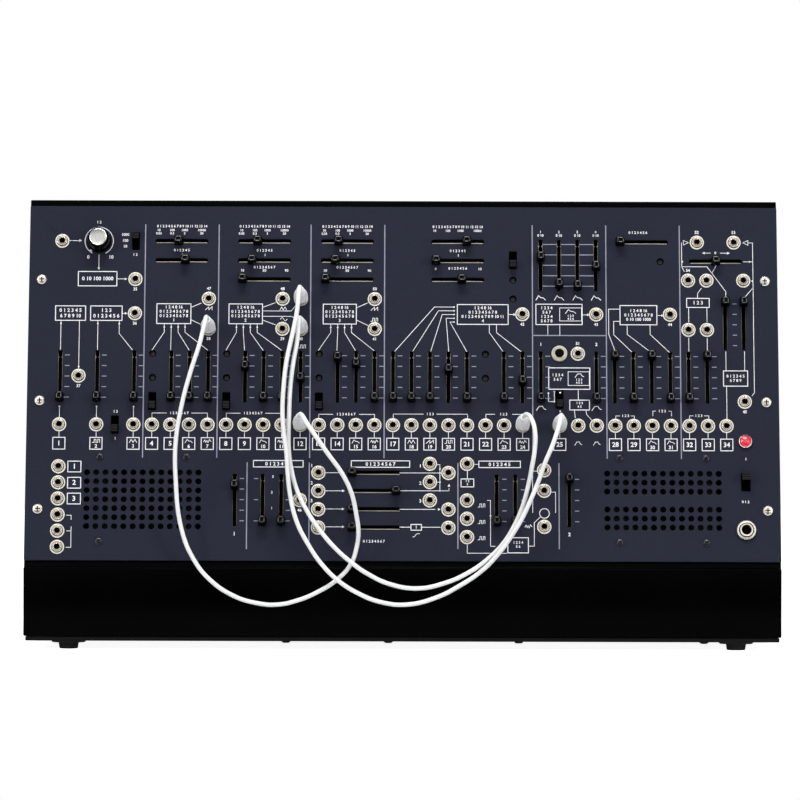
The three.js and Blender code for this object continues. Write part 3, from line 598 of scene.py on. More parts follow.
def white_moulding():
    # White moulded plug bodies: smooth with a slight texture where they are gripped
    return mottled(
        "white_moulding",
        (5 * MM, linear("f1f1f0"), linear("fbfbfa")),
        gloss=(3 * MM, 0.28, 0.42),
        grain=(0.8 * MM, 1.0),
        raised=(0.12, 0.04 * MM),
        specular_ior_level=0.5,
    )


def circuit_board():
    # Glass-epoxy board under black solder mask: tracks raise the mask by a hair
    material, tree, shader, place = bare_material("circuit_board", specular_ior_level=0.06)
    tracks = node(
        tree, "ShaderNodeTexBrick", {"Vector": place, "Scale": 1 / (9 * MM), "Mortar Size": 0.04}
    ).outputs["Fac"]
    tone = node(
        tree,
        "ShaderNodeMix",
        {"Factor": tracks, "A": linear("040505"), "B": linear("0a100d")},
        data_type="RGBA",
    )
    dress(tree, shader, place, tone.outputs[2], (6 * MM, 0.45, 0.6), tracks, (0.2, 0.05 * MM))
    return material


def paper_cone():
    # Pressed paper speaker cone: black, fibrous and matt
    fine_fibre = 6.0
    return mottled(
        "paper_cone",
        (1.2 * MM, linear("060606"), linear("141414"), fine_fibre),
        gloss=(2 * MM, 0.8, 0.95),
        raised=(0.5, 0.1 * MM),
        specular_ior_level=0.1,
    )


def galvanised_steel():
    # Galvanised steel channel: grey spangle a few millimetres across
    material, tree, shader, place = bare_material("galvanised_steel", metallic=0.9)
    spangle = node(tree, "ShaderNodeTexVoronoi", {"Vector": place, "Scale": 1 / (6 * MM)})
    tone = node(
        tree,
        "ShaderNodeMix",
        {"Factor": spangle.outputs["Color"], "A": linear("8d9092"), "B": linear("b9bcbe")},
        data_type="RGBA",
    )
    dress(tree, shader, place, tone.outputs[2], (6 * MM, 0.35, 0.5))
    return material


def cream_plastic():
    # Cream moulded ring round the push button
    patches = 4 * MM, linear("cfc7b4"), linear("e6dfce")
    return mottled("cream_plastic", patches, gloss=(2 * MM, 0.3, 0.45), specular_ior_level=0.5)


finishes = {}


def finish_named(make):
    """Each material is made once, when the first piece asks for it."""
    if make not in finishes:
        finishes[make] = make()
    return finishes[make]


# Mesh helpers
def new_mesh(name, work):
    """The mesh in a bmesh, as mesh data, smooth except at its sharp edges."""
    mesh = bpy.data.meshes.new(name)
    work.to_mesh(mesh)
    work.free()
    return smoothed(mesh)


def smoothed(mesh, angle=32):
    mesh.shade_smooth()
    mesh.set_sharp_from_angle(angle=math.radians(angle))
    return mesh


def put_in_scene(name, data):
    made = bpy.data.objects.new(name, data)
    bpy.context.scene.collection.objects.link(made)
    return made


def add_piece(name, mesh, finish, body=CASE, stands_for=(), place=None, slot=None):
    """A finished piece: its place goes into its mesh, and it rides on a body of the frame."""
    if place is not None:
        mesh.transform(place)
    mesh.materials.clear()
    mesh.materials.append(finish_named(finish))
    made = put_in_scene(name, mesh)
    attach(made, body)
    if stands_for:
        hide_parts(*stands_for)
    return made


def loft(work, sections, closed_loop=False):
    """Skins matching loops of points. The ends are capped, or joined where the loft is a ring."""
    rings = [[work.verts.new(point) for point in section] for section in sections]
    count = len(rings[0])
    pairs = list(zip(rings, rings[1:]))
    if closed_loop:
        pairs.append((rings[-1], rings[0]))
    for lower, upper in pairs:
        for i in range(count):
            j = (i + 1) % count
            work.faces.new((lower[i], lower[j], upper[j], upper[i]))
    if not closed_loop:
        work.faces.new(rings[0][::-1])
        work.faces.new(rings[-1])


def circle(radius, height, sides, wave=None, turn=0.0):
    """Points round the z axis; wave changes the radius with the angle."""
    points = []
    for i in range(sides):
        angle = 2 * math.pi * i / sides + turn
        r = radius if wave is None else wave(radius, angle)
        points.append((r * math.cos(angle), r * math.sin(angle), height))
    return points


def turned(profile, sides, closed_loop=False, waves=None):
    """A turned piece from (radius, height) points in millimetres."""
    work = bmesh.new()
    waves = waves or {}
    sections = [
        circle(radius * MM, height * MM, sides, waves.get(i))
        for i, (radius, height) in enumerate(profile)
    ]
    loft(work, sections, closed_loop)
    bmesh.ops.recalc_face_normals(work, faces=work.faces)
    return work


def rounded_rectangle(width, length, corner, height):
    """A closed outline with round corners, counter-clockwise."""
    steps = 4
    points = []
    for quarter, (side, end) in enumerate(((1, 1), (-1, 1), (-1, -1), (1, -1))):
        for i in range(steps + 1):
            angle = math.pi / 2 * (quarter + i / steps)
            x = side * (width / 2 - corner) + corner * math.cos(angle)
            y = end * (length / 2 - corner) + corner * math.sin(angle)
            points.append((x, y, height))
    return points


def stacked(levels):
    """A moulded block from (width, length, corner, height) levels in millimetres."""
    work = bmesh.new()
    loft(work, [rounded_rectangle(*[size * MM for size in level]) for level in levels])
    return work


def add_turned(name, profile, sides, finish, closed_loop=False, waves=None, **setting):
    """A piece turned from a profile, with its body, its place and what it stands for."""
    mesh = new_mesh(name, turned(profile, sides, closed_loop, waves))
    return add_piece(name, mesh, finish, **setting)


def add_box(work, size, centre, turn=0.0):
    """Adds a closed box, turned about the z axis, to a bmesh."""
    place = Matrix.Translation(centre) @ Matrix.Rotation(turn, 4, "Z")
    bmesh.ops.create_cube(work, size=1, matrix=place @ Matrix.Diagonal((*size, 1)))


def add_peg(work, centre, radius, depth):
    """Adds a short closed cylinder that stands along the z axis to a bmesh."""
    bmesh.ops.create_cone(
        work,
        cap_ends=True,
        segments=12,
        radius1=radius,
        radius2=radius,
        depth=depth,
        matrix=Matrix.Translation(centre),
    )


def soften(work, width, segments=2):
    """Rounds every edge that is clearly sharp."""
    sharp = math.radians(30)
    edges = [e for e in work.edges if e.is_manifold and e.calc_face_angle(0) > sharp]
    bmesh.ops.bevel(work, geom=edges, offset=width, segments=segments, affect="EDGES", profile=0.5)


def evaluated_mesh(thing):
    """A plain mesh of what an object's modifiers or curve make, once the object is gone."""
    seen = thing.evaluated_get(bpy.context.evaluated_depsgraph_get())
    mesh = bpy.data.meshes.new_from_object(seen)
    bpy.data.objects.remove(thing)
    return mesh


def cut(mesh, cutter):
    """The mesh with the cutter's shape taken out of it."""
    body, tool = [put_in_scene(shape.name, shape) for shape in (mesh, cutter)]
    modifier = body.modifiers.new("cut", "BOOLEAN")
    modifier.operation = "DIFFERENCE"
    modifier.solver = "EXACT"
    modifier.object = tool
    result = evaluated_mesh(body)
    bpy.data.objects.remove(tool)
    return smoothed(result)


def panel_box(name):
    """Lowest and highest corner of a CAD node, in panel coordinates."""
    back = PANEL.inverted()
    points = [back @ vertex.co for vertex in frame["nodes"][name].data.vertices]
    low = Vector([min(point[i] for point in points) for i in range(3)])
    high = Vector([max(point[i] for point in points) for i in range(3)])
    return low, high


def middle_of(name):
    low, high = panel_box(name)
    return (low + high) / 2


def place_over(name):
    """The place on the panel's face over the middle of a CAD node."""
    middle = middle_of(name)
    return PANEL @ Matrix.Translation((middle.x, middle.y, 0))


def knob_axis_place():
    """The shift that puts the knob's axis at the middle of a pattern in panel coordinates."""
    turn_back = Matrix.Rotation(LEAN - math.pi / 2, 4, "X")
    return -(turn_back @ (PANEL @ Vector((at_column(2), ROW_TOP, 0))))


# Geometry Nodes
def new_tree(name, sockets):
    """An empty tree with a geometry input and output and its named inputs."""
    tree = bpy.data.node_groups.new(name, "GeometryNodeTree")
    tree.interface.new_socket("Geometry", in_out="INPUT", socket_type="NodeSocketGeometry")
    tree.interface.new_socket("Geometry", in_out="OUTPUT", socket_type="NodeSocketGeometry")
    for label, kind in sockets.items():
        tree.interface.new_socket(label, in_out="INPUT", socket_type="NodeSocket" + kind)
    return tree, node(tree, "NodeGroupInput").outputs


def finish_tree(tree, given, geometry):
    """Ends a tree: plain geometry with its material, at the output."""
    plain = node(tree, "GeometryNodeRealizeInstances", {"Geometry": geometry})
    coated = node(
        tree, "GeometryNodeSetMaterial", {"Geometry": plain.outputs[0], "Material": given["Finish"]}
    )
    node(tree, "NodeGroupOutput", {"Geometry": coated.outputs[0]})


def punched_sheet_tree(name, slots, rounds):
    """A tree that makes a flat sheet with rounded slots and round holes at flagged points."""
    sockets = {"Width": "Float", "Length": "Float", "Corner": "Float", "Thickness": "Float"}
    for kind in slots:
        sockets.update({f"{kind} {size}": "Float" for size in ("width", "length", "corner")})
    for kind in rounds:
        sockets[f"{kind} radius"] = "Float"
    sockets["Finish"] = "Material"
    tree, given = new_tree(name, sockets)

    def rounded_outline(width, length, corner):
        shape = node(
            tree,
            "GeometryNodeCurvePrimitiveQuadrilateral",
            {"Width": given[width], "Height": given[length]},
        )
        return node(
            tree,
            "GeometryNodeFilletCurve",
            {"Curve": shape.outputs[0], "Radius": given[corner], "Count": 5},
            mode="POLY",
        ).outputs[0]

    joined = node(tree, "GeometryNodeJoinGeometry")
    tree.links.new(rounded_outline("Width", "Length", "Corner"), joined.inputs[0])
    outlines = {
        kind: rounded_outline(f"{kind} width", f"{kind} length", f"{kind} corner") for kind in slots
    }
    for kind in rounds:
        outlines[kind] = node(
            tree,
            "GeometryNodeCurvePrimitiveCircle",
            {"Resolution": 20, "Radius": given[f"{kind} radius"]},
        ).outputs[0]
    for kind, outline in outlines.items():
        mark = node(
            tree, "GeometryNodeInputNamedAttribute", {"Name": kind}, data_type="BOOLEAN"
        )
        placed = node(
            tree,
            "GeometryNodeInstanceOnPoints",
            {
                "Points": given["Geometry"],
                "Selection": mark.outputs["Attribute"],
                "Instance": outline,
            },
        )
        tree.links.new(placed.outputs[0], joined.inputs[0])
    curves = node(tree, "GeometryNodeRealizeInstances", {"Geometry": joined.outputs[0]})
    face = node(tree, "GeometryNodeFillCurve", {"Curve": curves.outputs[0]}, mode="TRIANGLES")
    raised = node(
        tree,
        "GeometryNodeExtrudeMesh",
        {"Mesh": face.outputs[0], "Offset Scale": given["Thickness"], "Individual": False},
    )
    underside = node(tree, "GeometryNodeFlipFaces", {"Mesh": face.outputs[0]})
    both = node(tree, "GeometryNodeJoinGeometry")
    tree.links.new(raised.outputs["Mesh"], both.inputs[0])
    tree.links.new(underside.outputs[0], both.inputs[0])
    whole = node(
        tree, "GeometryNodeMergeByDistance", {"Geometry": both.outputs[0], "Distance": WELD}
    )
    finish_tree(tree, given, whole.outputs[0])
    return tree


def fitted_tree():
    """A tree that fits one piece, at a given size, at every point."""
    tree, given = new_tree(
        "fitted_pieces", {"Piece": "Object", "Size": "Float", "Finish": "Material"}
    )
    piece = node(tree, "GeometryNodeObjectInfo", {"Object": given["Piece"]})
    placed = node(
        tree,
        "GeometryNodeInstanceOnPoints",
        {
            "Points": given["Geometry"],
            "Instance": piece.outputs["Geometry"],
            "Scale": given["Size"],
        },
    )
    finish_tree(tree, given, placed.outputs[0])
    return tree


def grown(tree, base, inputs, edge=0.0):
    """The plain mesh that a tree makes on a base mesh, with its edges rounded if asked."""
    holder = put_in_scene("holder", base)
    modifier = holder.modifiers.new("grow", "NODES")
    modifier.node_group = tree
    for item in tree.interface.items_tree:
        if item.in_out == "INPUT" and item.name in inputs:
            modifier[item.identifier] = inputs[item.name]
    if edge:
        rounding = holder.modifiers.new("edges", "BEVEL")
        rounding.width = edge
        rounding.segments = 2
        rounding.limit_method = "ANGLE"
        rounding.angle_limit = math.radians(50)
        rounding.use_clamp_overlap = False
    return smoothed(evaluated_mesh(holder), 20 if edge else 32)


def flagged_points(kinds):
    """A mesh of points, each flagged with the kind of hole that is punched there."""
    points = bpy.data.meshes.new("holes")
    places = [(x, y, 0.0) for spots in kinds.values() for x, y in spots]
    points.from_pydata(places, [], [])
    first = 0
    for kind, spots in kinds.items():
        mark = points.attributes.new(kind, "BOOLEAN", "POINT")
        for i in range(first, first + len(spots)):
            mark.data[i].value = True
        first += len(spots)
    return points


def punched_sheet(name, outline, thickness, finish, slots, rounds, spots, edge):
    """A sheet of (width, length, corner) with holes at the spots of each kind.

    slots gives a kind's width, length and corner, and rounds a kind's radius.
    """
    inputs = {"Thickness": thickness, "Finish": finish_named(finish)}
    inputs.update(zip(("Width", "Length", "Corner"), outline))
    for kind, slot in slots.items():
        inputs.update(zip((f"{kind} width", f"{kind} length", f"{kind} corner"), slot))
    for kind, radius in rounds.items():
        inputs[f"{kind} radius"] = radius
    return grown(punched_sheet_tree(name, slots, rounds), flagged_points(spots), inputs, edge)


def add_repeated(name, shape, places, finish, place=PANEL):
    """One piece that repeats a shape at places given as (x, y)."""
    template = put_in_scene("template", shape)
    points = bpy.data.meshes.new("places")
    points.from_pydata([(x, y, 0.0) for x, y in places], [], [])
    tree = bpy.data.node_groups.get("fitted_pieces") or fitted_tree()
    inputs = {"Piece": template, "Size": 1.0, "Finish": finish_named(finish)}
    mesh = grown(tree, points, inputs)
    bpy.data.objects.remove(template)
    return add_piece(name, mesh, finish, place=place)


# Pieces
def grid_places(spots):
    return [(at_column(column), v) for column, v in spots]


def grille_places(side):
    """The right grille's middle row is bare."""
    rows = [row for row in range(-3, 4) if side < 0 or row]
    return [
        (side * GRILLE_X + column * GRILLE_STEP_X, ROW_GRILLE + row * GRILLE_STEP_V)
        for row in rows
        for column in range(-6, 7)
    ]


def switch_place(name):
    """A switch window's middle: its lever rests at one end of its travel."""
    middle = middle_of(name + "_lever")
    return middle.x, middle.y - SWITCH_RESTS[name] * SWITCH_HALF_TRAVEL


def build_front_panel(sizes):
    end = sizes.slot_width * 0.48
    slots = {
        "Upright slot": (sizes.slot_width, sizes.slot_length, end),
        "Across slot": (sizes.slot_length, sizes.slot_width, end),
        "Window": (WINDOW_WIDTH, WINDOW_LENGTH, WINDOW_CORNER),
        "Power window": (POWER_WINDOW_WIDTH, WINDOW_LENGTH, WINDOW_CORNER),
    }
    rounds = {
        "Socket": SOCKET_HOLE,
        "Trimmer": TRIMMER_HOLE,
        "Grille": sizes.grille_hole / 2,
        "Button": BUTTON_HOLE,
        "Shaft": SHAFT_HOLE,
        "Lamp": LAMP_HOLE,
        "Headphone": HEADPHONE_HOLE,
    }
    spots = {
        "Upright slot": grid_places(UPRIGHT_SLOTS),
        "Across slot": grid_places(ACROSS_SLOTS),
        "Window": [switch_place(name) for name in SMALL_SWITCHES],
        "Power window": [switch_place("power_switch")],
        "Socket": grid_places(JACKS),
        "Trimmer": grid_places(TRIMMERS),
        "Grille": grille_places(-1) + grille_places(1),
        "Button": [middle_of("start_button").xy],
        "Shaft": [middle_of("gain_knob").xy],
        "Lamp": [middle_of("power_lamp").xy],
        "Headphone": [middle_of("headphone_socket").xy],
    }
    middle = PANEL_LENGTH / 2
    mesh = punched_sheet(
        "punched_front_panel",
        (PANEL_WIDTH, PANEL_LENGTH, 0.8 * MM),
        SHEET,
        slate_powder_coat,
        slots,
        rounds,
        {kind: [(x, v - middle) for x, v in places] for kind, places in spots.items()},
        sizes.panel_edge,
    )
    add_piece(
        "front_panel_sheet",
        mesh,
        slate_powder_coat,
        stands_for=["front_panel"],
        place=PANEL @ Matrix.Translation((0, middle, -SHEET)),
        slot="slate_paint",
    )


def clipped_hexagon(radius, angle):
    """A hexagon whose corners are turned off at the radius, as on a chamfered nut."""
    flat = radius * 1.06 * math.cos(math.pi / 6)
    return min(flat / math.cos((angle % (math.pi / 3)) - math.pi / 6), radius)


def build_patch_sockets():
    places = grid_places(JACKS)
    profile = [
        (1.85, -1.2), (1.85, 1.45), (1.95, 1.7), (2.15, 2.2), (2.25, 2.3), (2.45, 2.3), (2.54, 2.15),
        (2.58, 0.9), (2.84, 0.9), (2.88, 1.7), (2.95, 1.8), (3.35, 1.8), (3.75, 1.4), (3.75, 0.36),
        (3.9, 0.1), (3.98, 0.12), (4.02, 0.4), (4.1, 0.46), (4.85, 0.46), (5.0, 0.3), (4.98, 0.02),
        (3.2, 0.0), (3.1, -1.2),
    ]
    flats = dict.fromkeys((12, 13), clipped_hexagon)
    nut = turned(profile, 24, closed_loop=True, waves=flats)
    add_repeated("patch_socket_nuts", new_mesh("socket_nut", nut), places, nickel_plate)
    fibre = turned([(3.3, 0.1), (3.3, 0.34), (3.97, 0.34), (3.97, 0.1)], 24, closed_loop=True)
    sleeve = turned([(2.57, 0.95), (2.57, 1.15), (2.86, 1.15), (2.86, 0.95)], 24, closed_loop=True)
    fibre.from_mesh(new_mesh("sleeve", sleeve))
    rings = new_mesh("fibre_ring", fibre)
    add_repeated("patch_socket_fibre_rings", rings, places, brown_phenolic)
    cup = [(2.5, -8.5), (2.5, -1.25), (1.84, -1.2), (1.84, 1.25), (1.79, 1.25), (1.79, -7.5)]
    liner = new_mesh("socket_cup", turned(cup, 16))
    add_repeated("patch_socket_liners", liner, places, socket_liner)
    leaf = bmesh.new()
    add_box(leaf, (1.3 * MM, 0.26 * MM, 2.2 * MM), (0, -1.62 * MM, -0.1 * MM))
    soften(leaf, 0.1 * MM)
    add_repeated("patch_socket_contacts", new_mesh("contact_leaf", leaf), places, bronze_leaf)


def cap_shape(across):
    """A slider's stem and dished cap, about the middle of its travel."""
    levels = [
        (1.2, 4.0, 0.3, -12.8), (1.2, 4.0, 0.3, 0.6), (5.2, 5.4, 0.9, 0.7), (6.0, 6.2, 1.1, 1.0),
        (6.1, 6.4, 1.1, 1.8), (5.9, 6.3, 1.2, 3.2), (5.6, 6.1, 1.3, 5.0), (5.3, 5.9, 1.3, 6.6),
        (5.0, 5.6, 1.3, 7.2), (4.5, 5.2, 1.2, 7.5), (3.7, 4.4, 1.0, 7.66), (3.1, 3.8, 0.9, 7.77),
        (2.9, 3.6, 0.85, 7.77), (2.3, 3.0, 0.7, 7.66), (1.2, 1.8, 0.4, 7.45),
    ]
    mesh = new_mesh("slider_cap", stacked(levels))
    if across:
        mesh.transform(Matrix.Rotation(math.pi / 2, 4, "Z"))
    return mesh


def polish_above(piece, level):
    """What stands higher above the panel than a level gets the polish that fingertips give it."""
    piece.data.materials.append(finish_named(polished_abs))
    outward = PANEL.to_3x3() @ Vector((0, 0, 1))
    for face in piece.data.polygons:
        if (face.center - PANEL_FOOT).dot(outward) > level:
            face.material_index = 1


def build_slider_caps():
    for name in SLIDERS:
        joint = next(j for j in frame["joints"] if j["child"] == name)
        cap = add_piece(
            name.replace("_slider", "_cap"),
            cap_shape(across=abs(joint["axis"][0]) > 0.5),
            black_abs,
            body=name,
            stands_for=[name],
            place=place_over(name),
            slot="black_plastic",
        )
        polish_above(cap, CAP_RIM)
    places = [
        (at_column(column), ROW_ATTENUATORS + share * HALF_TRAVEL) for column, share in ATTENUATORS
    ]
    caps = add_repeated("attenuator_caps", cap_shape(across=False), places, black_abs)
    polish_above(caps, CAP_RIM)


def cross_cutter(reach, width, low, height):
    """A cross-shaped tool that cuts a screwdriver recess."""
    work = bmesh.new()
    arm = width / 2
    corners = [
        (reach, -arm), (reach, arm), (arm, arm), (arm, reach), (-arm, reach), (-arm, arm),
        (-reach, arm), (-reach, -arm), (-arm, -arm), (-arm, -reach), (arm, -reach), (arm, -arm),
    ]
    sections = [
        [(x * scale, y * scale, level) for x, y in corners]
        for scale, level in ((0.55, low), (1.0, low + height))
    ]
    loft(work, sections)
    bmesh.ops.recalc_face_normals(work, faces=work.faces)
    return new_mesh("cross", work)


def build_slot_fittings(sizes):
    strip = bmesh.new()
    add_box(strip, (sizes.slot_length - 1.4 * MM, 0.6 * MM, 0.4 * MM), (0, -0.97 * MM, -0.9 * MM))
    soften(strip, 0.1 * MM)
    across = grid_places(ACROSS_SLOTS)
    add_repeated("slot_track_strips", new_mesh("track_strip", strip), across, zinc_strip)
    rails = bmesh.new()
    tab = bmesh.new()
    for side in (-1, 1):
        rail = (0.18 * MM, sizes.slot_length - 1.2 * MM, 0.3 * MM)
        add_box(rails, rail, (side * 1.42 * MM, 0, -1.7 * MM))
        add_box(tab, (0.74 * MM, 0.6 * MM, 0.5 * MM), (side * 1.04 * MM, 13.9 * MM, -2.6 * MM))
    soften(rails, 0.04 * MM)
    soften(tab, 0.06 * MM)
    upright = grid_places(UPRIGHT_SLOTS)
    add_repeated("slot_track_rails", new_mesh("track_rails", rails), upright, zinc_strip)
    add_repeated("slot_end_tabs", new_mesh("end_tab", tab), upright, zinc_strip)
    profile = [
        (0.4, -6), (2.4, -6), (2.4, -3.6), (1.8, -3.4), (1.7, -2.0), (1.5, -1.8), (0.4, -1.8),
    ]
    recess = cross_cutter(1.8 * MM, 0.6 * MM, -2.2 * MM, 1.5 * MM)
    dial = cut(new_mesh("dial", turned(profile, 18)), recess)
    add_repeated("trimmer_dials", dial, grid_places(TRIMMERS), brown_phenolic)


def ribbed_lever(width, length, top, bottom):
    """A switch lever with finger ribs across its top."""
    ribs = 5
    step = length / ribs
    depth = RIB_RISE * 2
    outline = [(-length / 2, bottom)]
    for i in range(ribs):
        start = -length / 2 + i * step
        outline += [
            (start, top - depth), (start + step * 0.25, top), (start + step * 0.6, top),
            (start + step * 0.85, top - depth),
        ]
    outline += [(length / 2, top - depth), (length / 2, bottom)]
    work = bmesh.new()
    inset = 0.25 * MM
    drawn_in, lowered = 0.94, 0.985
    sections = []
    for x, is_side in ((-1, True), (-1, False), (1, False), (1, True)):
        reach = x * (width / 2 - (0 if is_side else inset))
        along, down = (drawn_in, lowered) if is_side else (1, 1)
        sections.append([(reach, y * along, bottom + (z - bottom) * down) for y, z in outline])
    loft(work, sections)
    bmesh.ops.recalc_face_normals(work, faces=work.faces)
    return new_mesh("ribbed_lever", work)


def build_switch_levers():
    for name in [*SMALL_SWITCHES, "power_switch"]:
        lever = name + "_lever"
        low, high = panel_box(lever)
        size = high - low
        made = add_piece(
            name + "_tab",
            ribbed_lever(size.x, size.y, high.z, low.z),
            black_abs,
            body=lever,
            stands_for=[lever],
            place=place_over(lever),
            slot="black_plastic",
        )
        polish_above(made, high.z - RIB_RISE / 2)


def fluted(radius, angle):
    """The fine flutes round the knob's skirt."""
    return radius + 0.14 * MM * math.cos(36 * angle)


def build_gain_knob():
    place = place_over("gain_knob")
    skirt = [
        (3.0, -12.1), (3.0, 0.75), (8.2, 0.8), (8.5, 1.1), (8.5, 1.9), (8.2, 2.5), (7.5, 3.6),
        (7.4, 4.6), (7.2, 10.6), (7.0, 11.4), (6.7, 11.8), (6.0, 11.9),
    ]
    add_turned(
        "gain_knob_body",
        skirt,
        144,
        black_abs,
        waves={7: fluted, 8: fluted},
        body="gain_knob",
        stands_for=["gain_knob"],
        place=place,
        slot="black_plastic",
    )
    disc = [(5.95, 11.6), (5.95, 12.2), (5.8, 12.4), (5.5, 12.5), (5.2, 12.4), (1.2, 12.35)]
    add_turned("gain_knob_disc", disc, 64, spun_aluminium, body="gain_knob", place=place)
    line = bmesh.new()
    start = math.radians(-120)
    reach = 7.9 * MM
    spot = Vector((reach * math.sin(start), -reach * math.cos(start), 2.6 * MM))
    add_box(line, (0.6 * MM, 1.5 * MM, 0.5 * MM), spot, turn=-start)
    soften(line, 0.1 * MM)
    mark = new_mesh("mark", line)
    add_piece("gain_knob_mark", mark, white_ink, body="gain_knob", place=place)


def build_start_button():
    place = place_over("start_button")
    button = [
        (2.4, -7.8), (2.6, -7.6), (2.6, 3.1), (2.45, 3.4), (2.2, 3.58), (1.6, 3.5), (0.6, 3.4),
    ]
    add_turned(
        "start_button_cap",
        button,
        32,
        black_abs,
        body="start_button",
        stands_for=["start_button"],
        place=place,
        slot="black_plastic",
    )
    ring = [
        (3.1, -1.9), (3.1, 1.9), (3.3, 2.3), (3.7, 2.4), (4.0, 2.3), (4.05, 0.9), (4.45, 0.9),
        (4.5, 1.9), (4.7, 2.05), (5.2, 1.7), (5.45, 0.9), (5.5, 0.03), (3.5, 0.0), (3.4, -1.9),
    ]
    add_turned("start_button_ring", ring, 36, cream_plastic, closed_loop=True, place=place)


def build_power_lamp():
    place = place_over("power_lamp")
    sides = 10
    half_step = math.pi / sides
    rings = [(3.3, -14.8, 0), (3.3, 1.0, 0), (3.9, 1.6, 0), (3.0, 2.7, half_step), (1.5, 3.3, 0)]
    work = bmesh.new()
    loft(work, [circle(radius * MM, height * MM, sides, turn=turn) for radius, height, turn in rings])
    cut_faces = [face for face in work.faces if face.calc_center_median().z > 1.1 * MM]
    bmesh.ops.triangulate(work, faces=cut_faces)
    jewel = new_mesh("jewel", work)
    jewel.shade_flat()
    add_piece(
        "power_lamp_jewel",
        jewel,
        red_jewel,
        stands_for=["power_lamp"],
        place=place,
        slot="red_jewel",
    )
    bezel = [
        (3.95, 0.3), (3.95, 1.7), (4.1, 2.0), (4.35, 2.05), (4.55, 1.85), (4.65, 1.3), (4.65, 0.3),
        (4.6, 0.05), (4.0, 0.05),
    ]
    add_turned("power_lamp_bezel", bezel, 36, nickel_plate, closed_loop=True, place=place)


def build_headphone_socket():
    place = place_over("headphone_socket")
    nut = [
        (3.35, -8.5), (3.35, 3.0), (3.5, 3.25), (4.3, 3.3), (4.55, 3.05), (4.6, 1.0), (5.2, 1.0),
        (5.25, 2.1), (5.4, 2.2), (6.3, 2.1), (6.65, 1.8), (6.85, 1.2), (6.85, 0.5), (6.7, 0.3),
        (4.9, 0.25), (4.7, -1.0), (4.7, -8.5),
    ]
    add_turned(
        "headphone_socket_nut",
        nut,
        48,
        nickel_plate,
        closed_loop=True,
        stands_for=["headphone_socket"],
        place=place,
        slot="nickel",
    )
    gasket = [(4.64, 1.04), (4.64, 1.6), (5.16, 1.6), (5.16, 1.04)]
    add_turned("headphone_socket_gasket", gasket, 48, brown_phenolic, closed_loop=True, place=place)
    levels = [(14.6, 14.6, 1, -13.2), (15, 15, 1, -12.8), (15, 15, 1, -2.6), (14.6, 14.6, 1, -2.4)]
    block = new_mesh("headphone_body", stacked(levels))
    bore = new_mesh("bore", turned([(3.3, -9.2), (3.3, 0)], 24))
    add_piece("headphone_socket_body", cut(block, bore), socket_liner, place=place)


def pan_head(radius, height):
    """A round-headed screw with a cross recess."""
    profile = [
        (radius * 0.3, -1.0), (radius * 0.95, -0.02), (radius, 0.15), (radius * 0.97, height * 0.5),
        (radius * 0.8, height * 0.85), (radius * 0.45, height), (radius * 0.1, height),
    ]
    head = new_mesh("head", turned(profile, 24))
    recess = cross_cutter(radius * 0.6 * MM, radius * 0.26 * MM, (height - 1.1) * MM, 1.4 * MM)
    return cut(head, recess)


def build_screws():
    panel_places = [
        (side * PANEL_SCREW_X, PANEL_LENGTH * share)
        for side in (-1, 1)
        for share in (0.79, 0.447, 0.143)
    ]
    add_repeated("panel_screws", pan_head(3.5, 1.7), panel_places, nickel_plate)
    # A dead black cross at the bottom of each screw head's recess: painted shade where the recess lies in
    # shadow
    recess_shade = cross_cutter(1.95 * MM, 0.8 * MM, 0.66 * MM, 0.5 * MM)
    add_repeated("panel_screw_recesses", recess_shade, panel_places, socket_liner)
    speaker_places = [
        (side * GRILLE_X + across * SPEAKER_SCREW_X, ROW_GRILLE + up * SPEAKER_SCREW_V)
        for side in (-1, 1)
        for across in (-1, 1)
        for up in (-1, 1)
    ]
    add_repeated("speaker_screws", pan_head(2.6, 1.1), speaker_places, black_oxide)
    under = Matrix.Translation((0, 12 * MM - CASE_DEPTH / 2, 5.9 * MM))
    under = under @ Matrix.Rotation(math.pi, 4, "X")
    base_places = [(x * MM, 0) for x in (-79.5, -9.6, 79.5, 205.9)]
    add_repeated("base_screws", pan_head(3.1, 1.7), base_places, black_abs, place=under)
    rear = Matrix.Translation((0, REAR_FACE, 0)) @ Matrix.Rotation(-math.pi / 2, 4, "X")
    rear_places = [
        (x * CASE_WIDTH, -z * CASE_HEIGHT) for x in (-0.477, 0, 0.477) for z in (0.06, 0.5, 0.965)
    ]
    add_repeated("rear_cover_screws", pan_head(3.0, 1.4), rear_places, black_oxide, place=rear)


def build_cabinet_shell(sizes):
    work = bmesh.new()
    work.from_mesh(frame["nodes"]["cabinet_shell"].data)
    bmesh.ops.remove_doubles(work, verts=work.verts, dist=0.01 * MM)
    bmesh.ops.dissolve_limit(work, angle_limit=math.radians(1), verts=work.verts, edges=work.edges)
    soften(work, sizes.case_edge, segments=3)
    add_piece(
        "cabinet_shell_steel",
        new_mesh("shell", work),
        black_enamel,
        stands_for=["cabinet_shell"],
        slot="gloss_black",
    )


